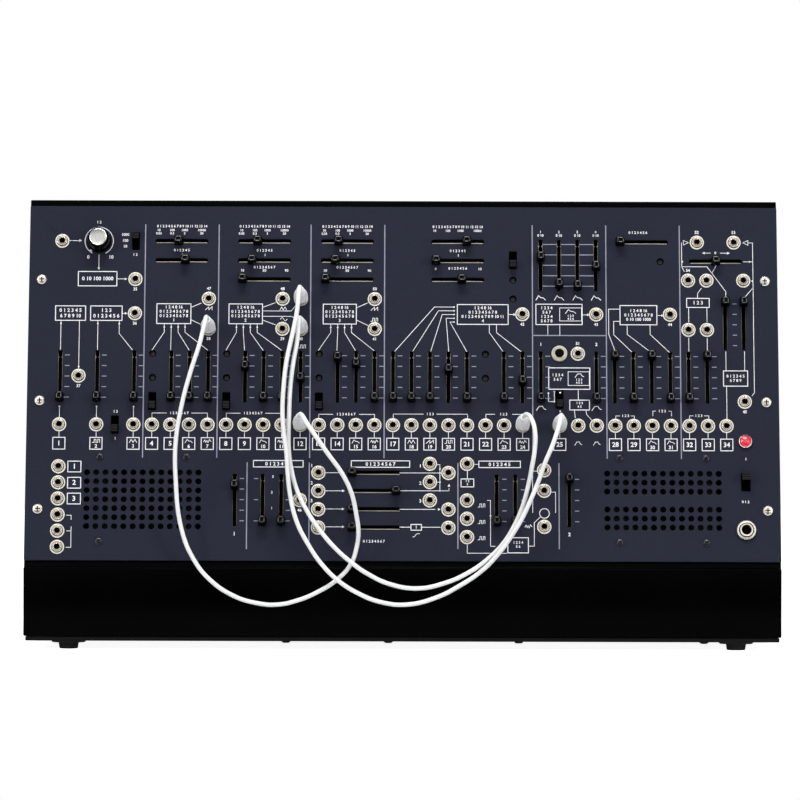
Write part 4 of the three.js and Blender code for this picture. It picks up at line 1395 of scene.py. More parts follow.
def build_base():
    """The base plate with its rounded edges, and its four feet."""
    width, depth = cover_high.x * 2, CASE_DEPTH - 1.2 * MM
    foot_top, plate_top = 5.8 * MM, 8.7 * MM
    rounding = 0.3 * MM
    levels = [
        (width - 2 * rounding, depth - 2 * rounding, foot_top),
        (width, depth, foot_top + rounding),
        (width, depth, plate_top - rounding),
        (width - 2 * rounding, depth - 2 * rounding, plate_top),
    ]
    base = stacked([(x / MM, y / MM, 1.5, z / MM) for x, y, z in levels])
    add_piece(
        "base_plate",
        new_mesh("base", base),
        satin_enamel,
        stands_for=["base_and_rear_cover"],
        place=Matrix.Translation((0, 0.6 * MM, 0)),
        slot="satin_black",
    )
    profile = [
        (2.0, 0.6), (2.2, 0.1), (5.6, 0.0), (6.3, 0.35), (6.6, 2.0), (6.9, 4.1), (7.2, 4.3),
        (11.2, 4.35), (11.6, 4.7), (11.6, 5.5), (11.3, 5.8), (2.0, 5.8),
    ]
    foot = new_mesh("foot", turned(profile, 32))
    across, deep = CASE_WIDTH / 2 - 30 * MM, CASE_DEPTH / 2 - 15 * MM
    places = [(side * across, end * deep) for side in (-1, 1) for end in (-1, 1)]
    add_repeated("rubber_feet", foot, places, rubber, place=None)


def build_rear_cover():
    """The rear cover with its vents and the holes for its sockets."""
    low = 8.9 * MM
    high = CASE_HEIGHT - SHELL_WALL - 0.3 * MM
    middle = (low + high) / 2
    vent_z = CASE_HEIGHT * 0.747 + 13 * MM
    sockets_z = REAR_SOCKET_Z - middle
    spots = {
        "Vent": [
            (side * CASE_WIDTH * 0.29 + (i - 3.5) * VENT_STEP, vent_z - middle)
            for side in (-1, 1)
            for i in range(8)
        ],
        "Data port": [(CASE_WIDTH * DATA_PORT_SHARE, sockets_z)],
        "Round socket": [(CASE_WIDTH * share, sockets_z) for share in ROUND_SOCKET_SHARES],
        "Inlet": [(CASE_WIDTH * INLET_SHARE, sockets_z)],
    }
    cover = punched_sheet(
        "punched_rear_cover",
        (CASE_WIDTH - 2 * SHELL_WALL - 0.6 * MM, high - low, 1 * MM),
        SHELL_WALL,
        satin_enamel,
        {"Vent": (3 * MM, 26 * MM, 1.45 * MM), "Data port": (12.4 * MM, 11.4 * MM, 0.6 * MM)},
        {"Round socket": 7.8 * MM, "Inlet": 5.8 * MM},
        spots,
        0.25 * MM,
    )
    place = Matrix.Translation((0, REAR_FACE, middle)) @ Matrix.Rotation(math.pi / 2, 4, "X")
    add_piece("rear_cover", cover, satin_enamel, place=place, slot="satin_black")


def behind(share):
    """A place on the rear cover, facing back, at a share of the case's width."""
    spot = Matrix.Translation((CASE_WIDTH * share, REAR_FACE, REAR_SOCKET_Z))
    return spot @ Matrix.Rotation(-math.pi / 2, 4, "X")


def build_rear_board():
    low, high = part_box("rear_socket_board")
    thickness = 1.6 * MM
    size = high - low
    centre = ((low.x + high.x) / 2, REAR_FACE - 14 * MM - 0.8 * MM, (low.z + high.z) / 2)
    board = bmesh.new()
    add_box(board, (size.x, thickness, size.z), centre)
    soften(board, 0.2 * MM)
    add_piece(
        "rear_board",
        new_mesh("rear_board", board),
        circuit_board,
        stands_for=["rear_socket_board"],
        slot="board",
    )


def build_round_sockets():
    shell = [(6.5, -14), (6.5, -0.5), (6.7, -0.2), (7.3, -0.2), (7.5, -0.5), (7.5, -14)]
    core = new_mesh("core", turned([(6.3, -14), (6.3, -4.4), (6.1, -4.2)], 32))
    pins = bmesh.new()
    reach = 4.2 * MM
    for i in range(5):
        angle = math.radians(180 + 45 * i)
        centre = (reach * math.cos(angle), -reach * math.sin(angle), -4 * MM)
        add_peg(pins, centre, 0.8 * MM, 4 * MM)
    core = cut(core, new_mesh("pins", pins))
    for side, share in zip(("left", "right"), ROUND_SOCKET_SHARES):
        name, place = f"{side}_round_socket", behind(share)
        add_turned(name + "_shell", shell, 36, nickel_plate, closed_loop=True, place=place)
        add_piece(name + "_core", core.copy(), black_abs, place=place)


def build_data_port():
    place = behind(DATA_PORT_SHARE)
    levels = [(12, 11, 0.8, -14), (12, 11, 0.8, -0.5), (11.6, 10.6, 0.8, -0.3)]
    housing = new_mesh("data_housing", stacked(levels))
    mouth = new_mesh("data_mouth", stacked([(8.4, 8.4, 0.8, -8.6), (8.4, 8.4, 0.8, 1)]))
    add_piece("data_port_shell", cut(housing, mouth), nickel_plate, place=place)
    levels = [(5.6, 3.2, 0.3, -8.8), (5.6, 3.2, 0.3, -1.1), (5.2, 2.8, 0.3, -0.9)]
    add_piece("data_port_tongue", new_mesh("tongue", stacked(levels)), cream_plastic, place=place)


def build_power_inlet():
    place = behind(INLET_SHARE)
    barrel = [
        (3.2, -9), (3.2, -0.6), (3.4, -0.3), (5.3, -0.3), (5.5, -0.6), (5.5, -14), (0.9, -14),
        (0.9, -9),
    ]
    add_turned("power_inlet_barrel", barrel, 32, black_abs, closed_loop=True, place=place)
    pin = [(1.0, -13), (1.0, -1.4), (0.8, -1.1), (0.3, -0.95)]
    add_turned("power_inlet_pin", pin, 16, nickel_plate, place=place)


# A moulded plug body with grip rings, standing on its socket, as (radius, height)
PLUG_PROFILE = [
    (1.9, 0.0), (4.1, 0.0), (4.3, 0.3), (4.6, 1.6), (4.9, 3.6), (4.92, 5.0), (4.85, 7.4), (4.6, 7.6),
    (4.6, 8.2), (4.76, 8.4), (4.66, 10.4), (4.4, 12.4), (4.0, 14.6), (3.6, 16.6), (3.3, 18.0),
    (3.0, 18.2), (3.0, 18.9), (3.16, 19.1), (3.05, 20.4), (2.78, 20.6), (2.78, 21.3), (2.94, 21.5),
    (2.82, 22.9), (2.6, 23.1), (2.6, 23.7), (2.72, 23.9), (2.5, 25.7), (2.2, 26.0), (1.55, 26.0),
]
# Its pin from the tip up, with the tip's neck and the insulating ring
PIN_PROFILE = [
    (0.6, -12.9), (1.5, -11.8), (1.72, -10.9), (1.3, -10.2), (1.3, -9.7), (1.74, -9.4), (1.74, -7.2),
    (1.62, -7.1), (1.62, -6.5), (1.74, -6.4), (1.74, 0.0), (1.1, 0.2),
]


def plug_place(spot):
    column, v = spot
    return PANEL @ Matrix.Translation((at_column(column), v, PLUG_SEAT))


def cord_curve(name, points):
    """A round white jacket along a smooth path through points."""
    curve = bpy.data.curves.new(name, "CURVE")
    curve.dimensions = "3D"
    curve.bevel_depth = CORD_DIAMETER / 2
    curve.bevel_resolution = 4
    curve.resolution_u = 8
    curve.use_fill_caps = True
    spline = curve.splines.new("BEZIER")
    spline.bezier_points.add(len(points) - 1)
    for knot, point in zip(spline.bezier_points, points):
        knot.co = point
        knot.handle_left_type = "AUTO"
        knot.handle_right_type = "AUTO"
    curve.materials.append(finish_named(white_pvc))
    return curve


def build_patch_cords():
    scale = Matrix.Diagonal((CASE_WIDTH, CASE_DEPTH, CASE_HEIGHT, 1))
    end = Vector((0, 0, PLUG_BODY + CORD_GAP))
    inside = end - Vector((0, 0, CORD_IN_PLUG))
    for name, cord in CORDS.items():
        first, last = plug_place(cord["from"]), plug_place(cord["to"])
        route = [first @ end, *[scale @ Vector(share) for share in cord["route"]], last @ end]
        curve = cord_curve(name, [first @ inside, *route, last @ inside])
        jacket = put_in_scene(name + "_jacket", curve)
        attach(jacket, CASE)
        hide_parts(name)
        plugs = []
        for which, place in (("first", first), ("second", last)):
            plug = f"{name}_{which}_plug"
            body = add_turned(
                plug + "_body",
                PLUG_PROFILE,
                32,
                white_moulding,
                stands_for=[plug],
                place=place,
                slot="white_moulding",
            )
            pin = add_turned(plug + "_pin", PIN_PROFILE, 24, nickel_plate, place=place)
            plugs += [body, pin]


# Panel print
class Print:
    """Ink laid on the panel's face in panel coordinates: column across and millimetres up."""

    def __init__(self):
        self.work = bmesh.new()

    def strip(self, points, width=LINE):
        """A line through points, as flat strips of ink."""
        spots = [Vector((at_column(column), v * MM)) for column, v in points]
        for a, b in zip(spots, spots[1:]):
            along = b - a
            middle = (a + b) / 2
            size = (along.length + width, width, INK)
            add_box(self.work, size, (*middle, INK_MIDDLE), math.atan2(along.y, along.x))

    def ticks(self, start, end, levels):
        """Short level marks from one column to another."""
        for v in levels:
            self.strip([(start, v), (end, v)], TICK)

    def frame(self, left, right, top, bottom, width=BORDER):
        """A box whose line runs just inside the given edges."""
        inset, drop = FRAME_INSET / PITCH, FRAME_DROP / MM
        left, right, top, bottom = left + inset, right - inset, top - drop, bottom + drop
        self.strip([(left, bottom), (right, bottom), (right, top), (left, top), (left, bottom)], width)

    def dot(self, column, v, radius=0.6 * MM):
        add_peg(self.work, (at_column(column), v * MM, INK_MIDDLE), radius, INK)

    def arrow(self, column, v, heading):
        """A filled arrowhead whose tip is at the point; heading is in degrees, 0 to the right."""
        tip = Matrix.Translation((at_column(column), v * MM, 0))
        place = tip @ Matrix.Rotation(math.radians(heading), 4, "Z")
        corners = [(0, 0), (-ARROW, ARROW * 0.5), (-ARROW, -ARROW * 0.5)]
        levels = (FRONT_SEAT / 5, FRONT_SEAT / 5 + INK)
        loft(self.work, [[place @ Vector((x, y, level)) for x, y in corners] for level in levels])

    def numeral(self, text, column, v, height=SMALL_DIGIT):
        """Digits centred on a point."""
        letters = bpy.data.curves.new("numeral", "FONT")
        letters.body = text
        letters.size = height / 0.7
        letters.align_x = "CENTER"
        letters.align_y = "CENTER"
        letters.extrude = INK / 2
        letters.offset = height * 0.035
        letters.resolution_u = 2
        mesh = evaluated_mesh(put_in_scene("numeral", letters))
        mesh.transform(Matrix.Translation((at_column(column), v * MM, INK)))
        self.work.from_mesh(mesh)

    def rows(self, column, v, texts, height=2.05 * MM, step=3.06):
        """Lines of plain numbers, one above the other about a point."""
        for i, text in enumerate(texts):
            self.numeral(text, column, v + ((len(texts) - 1) / 2 - i) * step, height)

    def symbol(self, kind, column, v, width=5.0, height=2.6, line=0.5 * MM):
        """A small waveform or envelope, centred on a point."""
        step = width * MM / PITCH
        points = [(column + (x - 0.5) * step, v + (y - 0.5) * height) for x, y in SYMBOLS[kind]]
        self.strip(points, line)


SYMBOLS = {
    "saw": [(0, 0), (0.5, 1), (0.5, 0), (1, 1), (1, 0)],
    "triangle": [(0, 0), (0.25, 1), (0.5, 0), (0.75, 1), (1, 0)],
    "sine": [(i / 12, 0.5 + 0.5 * math.sin(2 * math.pi * i / 12)) for i in range(13)],
    "pulse": [(0, 0), (0.25, 0), (0.25, 1), (0.5, 1), (0.5, 0), (0.75, 0), (0.75, 1), (1, 1), (1, 0)],
    "envelope": [(0, 0), (0.28, 1), (0.5, 0.55), (0.75, 0.5), (1, 0)],
    "zigzag": [(0, 0.3), (0.15, 0.9), (0.3, 0.1), (0.45, 0.7), (0.6, 0), (0.8, 1), (1, 0.4)],
    "hold": [(0, 0), (0.3, 1), (0.65, 1), (0.8, 0.4), (1, 0.2)],
    "lag": [(0, 0), (0.25, 0.05), (0.4, 0.5), (0.6, 0.95), (1, 1)],
}

# Block outlines as (left column, right column, top, bottom), the heights in millimetres
BLOCKS = [
    (0.85, 3.04, 202.5, 191.7), (-0.35, 1.37, 178.1, 167.3), (1.55, 3.35, 178.1, 167.3),
    (5.14, 7.08, 179.8, 165.2), (9.05, 10.96, 179.8, 165.2), (14.16, 16.05, 179.8, 165.2),
    (21.43, 24.28, 179.8, 165.2), (25.69, 28.29, 180.2, 165.2), (30.25, 32.34, 179.4, 165.2),
    (26.37, 28.69, 135.3, 119.7), (33.87, 35.19, 184.6, 177.6), (35.82, 37.22, 133.5, 122.2),
    (27.5, 28.66, 112.7, 105.2), (10.45, 13.22, 69.9, 64.8), (15.72, 18.96, 69.9, 64.8),
    (22.59, 24.92, 69.9, 64.8), (24.14, 25.34, 16.7, 5.6), (21.63, 22.41, 57.4, 51.3),
    (18.94, 19.6, 25.7, 21.1), (0.46, 1.26, 69.1, 61.0), (0.46, 1.26, 57.8, 49.7), (0.46, 1.26, 46.8, 38.7),
]
# Leader lines through (column, height) points
LEADERS = [
    [(0.4, 224.1), (1.0, 224.1)], [(2, 214), (2, 203.7)], [(3.04, 197), (3.5, 197)],
    [(0, 167.3), (0, 147)], [(1, 167.3), (1, 133.9)], [(2, 167.3), (2, 147)],
    [(3.16, 167.3), (3.16, 158.5), (3.88, 147)], [(3.34, 172.6), (3.56, 172.6)],
    [(7.08, 177.2), (7.58, 180)], [(7.08, 168), (7.6, 164.8)],
    [(10.96, 177.3), (11.6, 180.4)], [(10.96, 174.6), (12.48, 174.6), (12.74, 179)],
    [(10.96, 170.8), (12.48, 170.8), (12.66, 169.7)], [(10.96, 168), (11.62, 164.8)],
    [(16.05, 177.2), (16.6, 180.4)], [(16.05, 168.1), (16.62, 164.6)],
    [(23.21, 165.2), (23.21, 159.7), (23.94, 146.6)], [(23.6, 165.2), (23.6, 159.7), (24.92, 146.4)],
    [(24.28, 172.5), (24.58, 172.5)], [(28.29, 172.4), (28.57, 172.4)], [(26.38, 165.2), (26.38, 157.8)],
    [(27.03, 165.2), (27.03, 157.8)],
    [(30.25, 176.5), (29.68, 176.5), (29.68, 158.7), (30.03, 146.4)],
    [(30.25, 167.9), (29.95, 167.9), (29.95, 158.4), (30.92, 146.4)],
    [(30.68, 165.2), (30.68, 158.7), (31.95, 146.2)], [(31.92, 165.2), (31.92, 158.8), (32.95, 146.2)],
    [(32.35, 172.1), (32.6, 172.1)],
    [(26.4, 116.7), (26.4, 111.3), (26.72, 111.3), (26.72, 118.5)], [(28.01, 119.7), (28.01, 112.7)],
    [(27.8, 105.2), (27.84, 100)], [(28.42, 105.2), (28.46, 102.3), (28.74, 98.3)],
    [(33.67, 223.6), (33.67, 206.7), (35.04, 206.7), (36.04, 189.2), (36.04, 185.9)],
    [(37.28, 223.7), (37.53, 223.7), (37.53, 117.9), (37.4, 115.7)],
    [(35.23, 216.4), (34.82, 216.4)], [(35.78, 216.4), (36.22, 216.4)], [(37.02, 210.3), (37.53, 210.3)],
    [(33.67, 206.7), (33.8, 203.4)], [(35.53, 207.2), (35.3, 202.2)], [(34.72, 191.5), (34.51, 187.7)],
    [(34.51, 187.7), (34.51, 184.6)], [(34.02, 177.6), (34.02, 167.6)], [(35.01, 177.6), (35.01, 167.6)],
    [(34.01, 156.2), (34.01, 147)], [(35.01, 156.2), (35.01, 147.4)], [(37.06, 185), (37.48, 191.2)],
    [(36.01, 146.7), (36.01, 133.5)], [(37.02, 146.7), (37.02, 133.5)], [(36.03, 122.2), (36.03, 99.6)],
    [(0.47, 31.2), (0.73, 31.2), (0.73, 28.2)], [(0.5, 20.3), (0.74, 20.3)],
    [(0.74, 23.2), (0.74, 8.9), (0.49, 8.9)],
    *[[(14.37, v), (15.36, v)] for v in (61.2, 48.6, 36.0, 23.6)],
    [(18.39, 61.2), (20.59, 61.2)], [(20.36, 67), (20.54, 67), (20.54, 48.8)], [(20.36, 54.8), (20.54, 54.8)],
    [(18.33, 48.8), (21.03, 48.8), (21.03, 50.5)], [(18.39, 35.9), (20.28, 35.9)],
    [(18.39, 23.5), (18.94, 23.5)], [(19.6, 23.5), (20.57, 23.5)],
    [(22.38, 67.3), (22.59, 67.3)], [(22.02, 62.6), (22.02, 57.4)],
    [(23.09, 42.2), (23.26, 42.2), (23.26, 10.4), (23.5, 10.4)], [(22.01, 12.1), (22.01, 5.6), (24.14, 5.6)],
    [(25.34, 10.6), (25.61, 10.6), (25.61, 26.8), (25.94, 30.8)],
    [(25.53, 33.9), (25.53, 62.7), (25.77, 62.7)], [(26.76, 33.9), (26.76, 48.1), (26.52, 48.1)],
]
# Brackets that tie neighbouring sockets, as (left, right, inner left, inner right, height)
BRACKETS = [
    (5, 7.99, 5.79, 7.14, 102.6), (9.01, 11.99, 9.76, 11.13, 102.6), (14, 17.01, 14.75, 16.19, 102),
    (18.02, 22.03, 19.64, 20.38, 102.3), (23.02, 25.01, 23.49, 24.46, 102.3),
    (30.03, 31.03, 30.24, 30.87, 101.4), (32.03, 33.04, 32.18, 32.89, 104.8),
    (34.01, 35.05, 34.2, 34.81, 101.6),
]
# What each patch socket carries: column and symbol
CARRIED = [
    (2, "pulse"), (4, "triangle"), (7, "envelope"), (8, "zigzag"), (11, "envelope"), (12, "zigzag"),
    (16, "envelope"), (17, "zigzag"), (19, "triangle"), (20, "saw"), (21, "pulse"), (24, "envelope"),
    (25, "zigzag"), (32, "envelope"), (33, "envelope"),
]
SEPARATORS = [(column, 71.8, 235.5) for column in (4.52, 8.52, 13.52, 17.53, 25.55, 29.55, 33.55)]
SEPARATORS += [(10.16, 8.4, 67.9), (13.51, 13.7, 67.9), (21.51, 8.9, 67.9), (26.95, 8.9, 67.9)]
# Dots where leaders end or meet, as (column, height)
JUNCTIONS = [
    (0, 165.4), (1, 135), (2, 165.4), (3.16, 165.2), (26.4, 117.2), (26.72, 118.2), (27.03, 117.6),
    (26.72, 111.3), (27.03, 104.6), (37.36, 210.3), (33.7, 210.3), (37.49, 196.6),
    (20.54, 64), (20.54, 61.2), (20.54, 54.8), (20.54, 48.8), (23.26, 31.6),
]
# Arrowheads at the ends of leaders, as (column, height, heading)
ARROWS = [
    (1.06, 224.1, 0), (2, 203.3, -90), (3.56, 197, 0), (3.6, 172.6, 0), (24.66, 172.5, 0),
    (28.66, 172.4, 0), (32.68, 172.1, 0), (34.78, 216.4, 180), (36.28, 216.4, 0),
    (20.58, 35.9, 0), (21.03, 53.6, 90),
    *[(15.42, v, 0) for v in (61.2, 48.6, 36.0, 23.6)],
]
# Waveforms beside sockets and slots, as (symbol, column, height)
WAVES = [
    ("saw", 8, 176.4), ("triangle", 12.04, 176.4), ("sine", 12.07, 168.8), ("saw", 16.98, 176.3),
    ("pulse", 16.98, 168.6), ("pulse", 13.08, 149.6), ("lag", 19.27, 17.9), ("pulse", 22.78, 38.7),
    ("pulse", 22.78, 27.2), ("pulse", 22.78, 16.0), ("zigzag", 25.3, 24.3), ("hold", 28, 82),
    ("hold", 29, 82),
]
# Single numbers beside sockets, switches and slots, as (column, height, text)
LONE_NUMBERS = [
    (3.03, 103.6, "1 2"), (3.03, 84.6, "1"), (1.98, 237.2, "1 2"), (3.97, 214.2, "1 2"),
    (35.5, 216.4, "0"), (37.02, 71.4, "1"), (36.98, 41.6, "0 1 2"), (11.55, 58.3, "3"),
    (11.5, 47.4, "2"), (11.5, 36.4, "1"),
]
# Headings inside the lower frames, as (left column, right column, text)
LOWER_HEADINGS = [
    (10.45, 13.22, "0 1 2 3 4 5 6"), (15.72, 18.96, "0 1 2 3 4 5 6 7"), (22.59, 24.92, "0 1 2 3 4 5"),
]


def print_fans(ink):
    """The leaders that spread from each block's foot to the slots below it."""
    for left in (5.14, 9.05, 14.16):
        for i in range(4):
            drop = left + 0.46 + 0.375 * i
            ink.strip([(drop, 165.2), (drop, 159.4), (round(left) + i - 0.04, 146.9)])
            ink.dot(drop, 163)
    for i in range(5):
        level = 177.7 - 2.65 * i
        ink.strip([(21.31, level), (20.24 + 0.21 * i, level), (18.1 + 0.97 * i, 146.5)])
        ink.dot(21.3, level, 0.55 * MM)


def levels_about(row):
    """The heights of five scale marks about the middle of an upper row of slots."""
    return [row / MM + (i - 2) * 7.4 for i in range(5)]


def levels_below(top):
    """The heights of five scale marks from the highest down."""
    return [top - 7.35 * i for i in range(5)]


def print_scales(grey):
    """Tick marks beside the slots, and the grid behind the envelope sliders."""
    for column in (26, 29, *[column for column, _ in ATTENUATORS]):
        grey.ticks(column + 0.27, column + 0.48, levels_about(ROW_ATTENUATORS))
    for left in (26, 27, 28):
        grey.ticks(left + 0.14, left + 0.86, levels_about(ROW_ENVELOPE))
    low = levels_below(57)
    for start, levels in (
        (9.8, low), (10.56, low[::2]), (12.28, low[2:]), (23.92, low), (24.92, low), (27.83, low),
    ):
        grey.ticks(start, start + 0.18, levels)
    grey.ticks(36.42, 36.6, levels_below(180.4))


def print_symbols(ink):
    """Waveforms and envelopes by the sockets and in the blocks."""
    for kind, column, v in WAVES:
        ink.symbol(kind, column, v, 4.6, 2.2, LINE)
    for column in (26, 27, 28, 29):
        ink.symbol("envelope", column, 184.4, 6.4, 3.0)
    for column in (26, 29):
        ink.symbol("hold", column, 106.6, 6.4, 2.8)
    ink.symbol("envelope", 27.62, 174.8, 7, 2.6, 0.42 * MM)
    ink.symbol("hold", 28.08, 129.6, 6, 2.4, 0.42 * MM)
    ink.frame(26.98, 28.26, 177.6, 167.8, LINE)
    ink.rows(27.62, 170.6, ["1 2 3", "4 5 6"], 1.5 * MM, 2.1)
    ink.frame(27.42, 28.66, 132.6, 122.4, LINE)
    ink.rows(28.06, 125.6, ["1 2 3", "4 5 6"], 1.5 * MM, 2.1)


def print_block_numbers(ink):
    """Rows of plain numbers inside the blocks."""
    ink.rows(1.95, 197.1, ["0 10 100 1000"], 2.6 * MM)
    ink.rows(0.51, 172.7, ["0 1 2 3 4 5", "6 7 8 9 10"], 2.45 * MM, 3.9)
    ink.rows(2.45, 172.7, ["1 2 3", "0 1 2 3 4 5 6"], 2.45 * MM, 3.9)
    octaves, steps = "1 2 4 8 16", "0 1 2 3 4 5 6 7 8"
    for number, middle in (("1", 6.11), ("2", 10.0), ("3", 15.1)):
        ink.rows(middle, 172.5, [octaves, steps, steps, number])
    ink.rows(22.86, 172.5, [octaves, steps, steps + " 9 10 11", "4"])
    ink.rows(26.32, 172.6, ["1 2 3 4", "5 6 7", "1 2 3 4", "5 6 7 8"], 2.0 * MM)
    ink.rows(31.3, 172.3, [octaves, steps, "0 10 100 1000"])
    ink.rows(34.53, 181.1, ["1 2 3"], 2.4 * MM)
    ink.rows(36.52, 127.9, ["0 1 2 3 4 5", "6 7 8 9"], 2.0 * MM)
    ink.rows(26.9, 128.4, ["1 2 3 4", "5 6 7"], 1.9 * MM)
    ink.rows(28.08, 109, ["1 2 3", "4 5"], 1.6 * MM, 2.6)
    ink.rows(22.02, 54.4, ["1 2", "3"], 1.5 * MM, 2.3)
    ink.rows(24.74, 11.6, ["1 2 3 4", "5 6"], 1.7 * MM, 2.8)
    ink.rows(19.27, 23.4, ["1"], 2.0 * MM)
    for column, v, text in LONE_NUMBERS:
        ink.numeral(text, column, v)


def print_patch_boxes(ink):
    """A box under each socket of the patch row, with what it carries."""
    carried = dict(CARRIED)
    for number, column in enumerate(PATCH_ROW, start=1):
        if column in (28, 29):
            continue
        ink.strip([(column, 90), (column, 85.6)])
        ink.frame(column - 0.375, column + 0.375, 85.7, 76.9)
        if column in carried:
            ink.symbol(carried[column], column, 83, 5.0, 2.2, 0.42 * MM)
            ink.numeral(str(number), column, 79.3, 2.4 * MM)
        else:
            ink.numeral(str(number), column, 81.2, 3.2 * MM)
    for column in (0, 2, 4):
        ink.strip([(column, 107.4), (column, 99.4)])
        ink.dot(column, 107)


def print_slide_scales(ink):
    """Plain scale numbers and ruled scales over the level slots."""
    decades = (-1.26, -0.54, 0.14, 1.07)
    for column in (6.5, 11, 15.5, 21.5):
        ink.numeral("0 1 2 3 4 5 6 7 8 9 10 11 12 13 14", column, 234.5)
        for text, shift in zip(("10", "100", "1000", "10000"), decades):
            ink.numeral(text, column + shift, 231.7, 1.6 * MM)
        ink.numeral("0 1 2 3 4 5", column, 217.4)
        ink.strip([(column + 0.03, 213.6), (column + 0.03, 214.9)])
    for column in (6.5, 11, 15.5):
        for text, shift in zip(("0.03", "0.3", "3", "30"), decades):
            ink.numeral(text, column + shift, 229.4, 1.6 * MM)
    for column in (11, 15.5):
        ink.numeral("0 1 2 3 4 5 6 7", column, 205.5)
        for text, shift in (("10", -1.2), ("50", 0), ("90", 1.2)):
            ink.numeral(text, column + shift, 203.2)
    ink.numeral("0 1 2 3 4 5 6", 21.5, 205.0)
    for text, shift in (("0", -1.2), ("10", 1.2)):
        ink.numeral(text, 21.5 + shift, 204.6)
    ink.numeral("0 1 2 3 4 5 6", 31.3, 230.7)
    ink.numeral("0 1 2 3 4 5 6 7", 17, 13.6)


def print_socket_numbers(ink):
    """The sockets outside the patch row are numbered on from it, above or below their nuts."""
    below = [
        (4, ROW_THIRD), (4, ROW_MIDDLE_OUTPUT), (1, ROW_FOLLOWER_OUTPUT),
        *[(column, ROW_LOWER_OUTPUT) for column in (8, 12, 13, 17)],
        *[(column, ROW_MIDDLE_OUTPUT) for column in (25, 29, 33)],
        (37, ROW_REVERB_OUTPUT), (13, processor_row(1.5)),
    ]
    above = [
        *[(column, ROW_UPPER_OUTPUT) for column in (8, 12, 13, 17)], (28, ROW_GATE),
        (34.5, ROW_TOP), (36.5, ROW_TOP), (34, ROW_THIRD),
    ]
    first = len(PATCH_ROW) + 1
    for shift, spots in ((-7.1, below), (7.1, above)):
        for number, (column, v) in enumerate(spots, start=first):
            ink.numeral(str(number), column, v / MM + shift, 2.0 * MM)
        first += len(spots)


def print_numbers(ink):
    """Plain numbers beside the slots, switches and lower sockets."""
    for column, text in ((26, "1"), (27, "2"), (28, "3"), (29, "4")):
        ink.rows(column, 229.8, [text, "0 10"], 1.7 * MM, 2.5)
    for text, column in (("1", 26), ("2", 29)):
        ink.numeral(text, column, 151.5, 2.2 * MM)
    for text, v in (("1000", 228.4), ("100", 224.2), ("10", 220.1)):
        ink.numeral(text, 3.42, v, 1.9 * MM)
    for side in (13.64, 19.49):
        for text, v in zip("123", (66.0, 54.0, 41.6)):
            ink.numeral(text, side, v, 2.2 * MM)
    for step in range(3):
        ink.numeral(str(step + 1), 0.86, 65.05 - 11.2 * step, 3.4 * MM)
    for column, number in ((9.5, "1"), (27.5, "2")):
        ink.numeral(number, column, 18.6, 2.4 * MM)
    for left, right, text in LOWER_HEADINGS:
        ink.numeral(text, (left + right) / 2, 67.2, 2.4 * MM)


def print_gain_scale(ink):
    """The arc round the knob, open at its foot, with a dot and 0 at its start."""
    centre = Vector((2, ROW_TOP / MM))
    radius = 9.8
    turns = [math.radians(-150 + 300 * i / 32) for i in range(33)]
    across = radius * MM / PITCH
    arc = [(centre.x + across * math.sin(a), centre.y + radius * math.cos(a)) for a in turns]
    ink.strip(arc, 0.55 * MM)
    ink.dot(1.54, 216.9, 0.95 * MM)
    ink.numeral("0", 1.42, 212.4, 2.3 * MM)
    ink.numeral("10", 2.66, 212.4, 2.3 * MM)


def print_brackets(ink):
    """The brackets under the attenuators, each with its row of numbers."""
    for left, right, inner_left, inner_right, v in BRACKETS:
        ink.strip([(left, v - 3.2), (left, v), (inner_left, v)])
        ink.strip([(inner_right, v), (right, v), (right, v - 3.2)])
        count = 7 if inner_right - inner_left > 1 else 3
        text = " ".join(str(i + 1) for i in range(count))
        ink.numeral(text, (inner_left + inner_right) / 2, v)


def print_signs(ink):
    """The ring between two lower sockets, and the triangles beside the two upper right sockets."""
    radius = 3.35
    across = radius * MM / PITCH
    turns = [i * math.pi / 8 for i in range(17)]
    ring = [(26.16 + across * math.cos(a), 33.3 + radius * math.sin(a)) for a in turns]
    ink.strip(ring, 0.55 * MM)
    for base, tip in ((33.77, 34.04), (37.28, 37.0)):
        ink.strip([(base, 225.4), (base, 222.1), (tip, 223.8), (base, 225.4)], 0.35 * MM)


def build_panel_print():
    ink, grey = Print(), Print()
    for column, bottom, top in SEPARATORS:
        grey.strip([(column, bottom), (column, top)], HEAVY)
    grey.strip([(25.55, 157.8), (29.55, 157.8)], HEAVY)
    print_scales(grey)
    for block in BLOCKS:
        ink.frame(*block)
    for leader in LEADERS:
        ink.strip(leader)
    for column, v in JUNCTIONS:
        ink.dot(column, v)
    for column, v, heading in ARROWS:
        ink.arrow(column, v, heading)
    print_brackets(ink)
    print_signs(ink)
    print_fans(ink)
    print_symbols(ink)
    print_block_numbers(ink)
    print_patch_boxes(ink)
    print_slide_scales(ink)
    print_socket_numbers(ink)
    print_numbers(ink)
    print_gain_scale(ink)
    add_piece("panel_print_white", new_mesh("white_print", ink.work), white_ink, place=PANEL)
    add_piece("panel_print_grey", new_mesh("grey_print", grey.work), lavender_ink, place=PANEL)


def finish_frame_nodes():
    """Procedural finishes for the CAD nodes that keep their own shapes."""
    kept = {
        "control_board": circuit_board,
        "left_speaker": paper_cone,
        "right_speaker": paper_cone,
        "reverb_tank": galvanised_steel,
    }
    for name, finish in kept.items():
        for slot in frame["nodes"][name].material_slots:
            slot.material = finish_named(finish)


# Stage: the camera stands where the photograph was taken
def add_softbox(name, place, target, width, height, power):
    lamp = bpy.data.lights.new(name, "AREA")
    lamp.shape = "RECTANGLE"
    lamp.size = width
    lamp.size_y = height
    lamp.energy = power
    made = put_in_scene(name, lamp)
    made.location = place
    heading = Vector(target) - Vector(place)
    made.rotation_euler = heading.to_track_quat("-Z", "Y").to_euler()


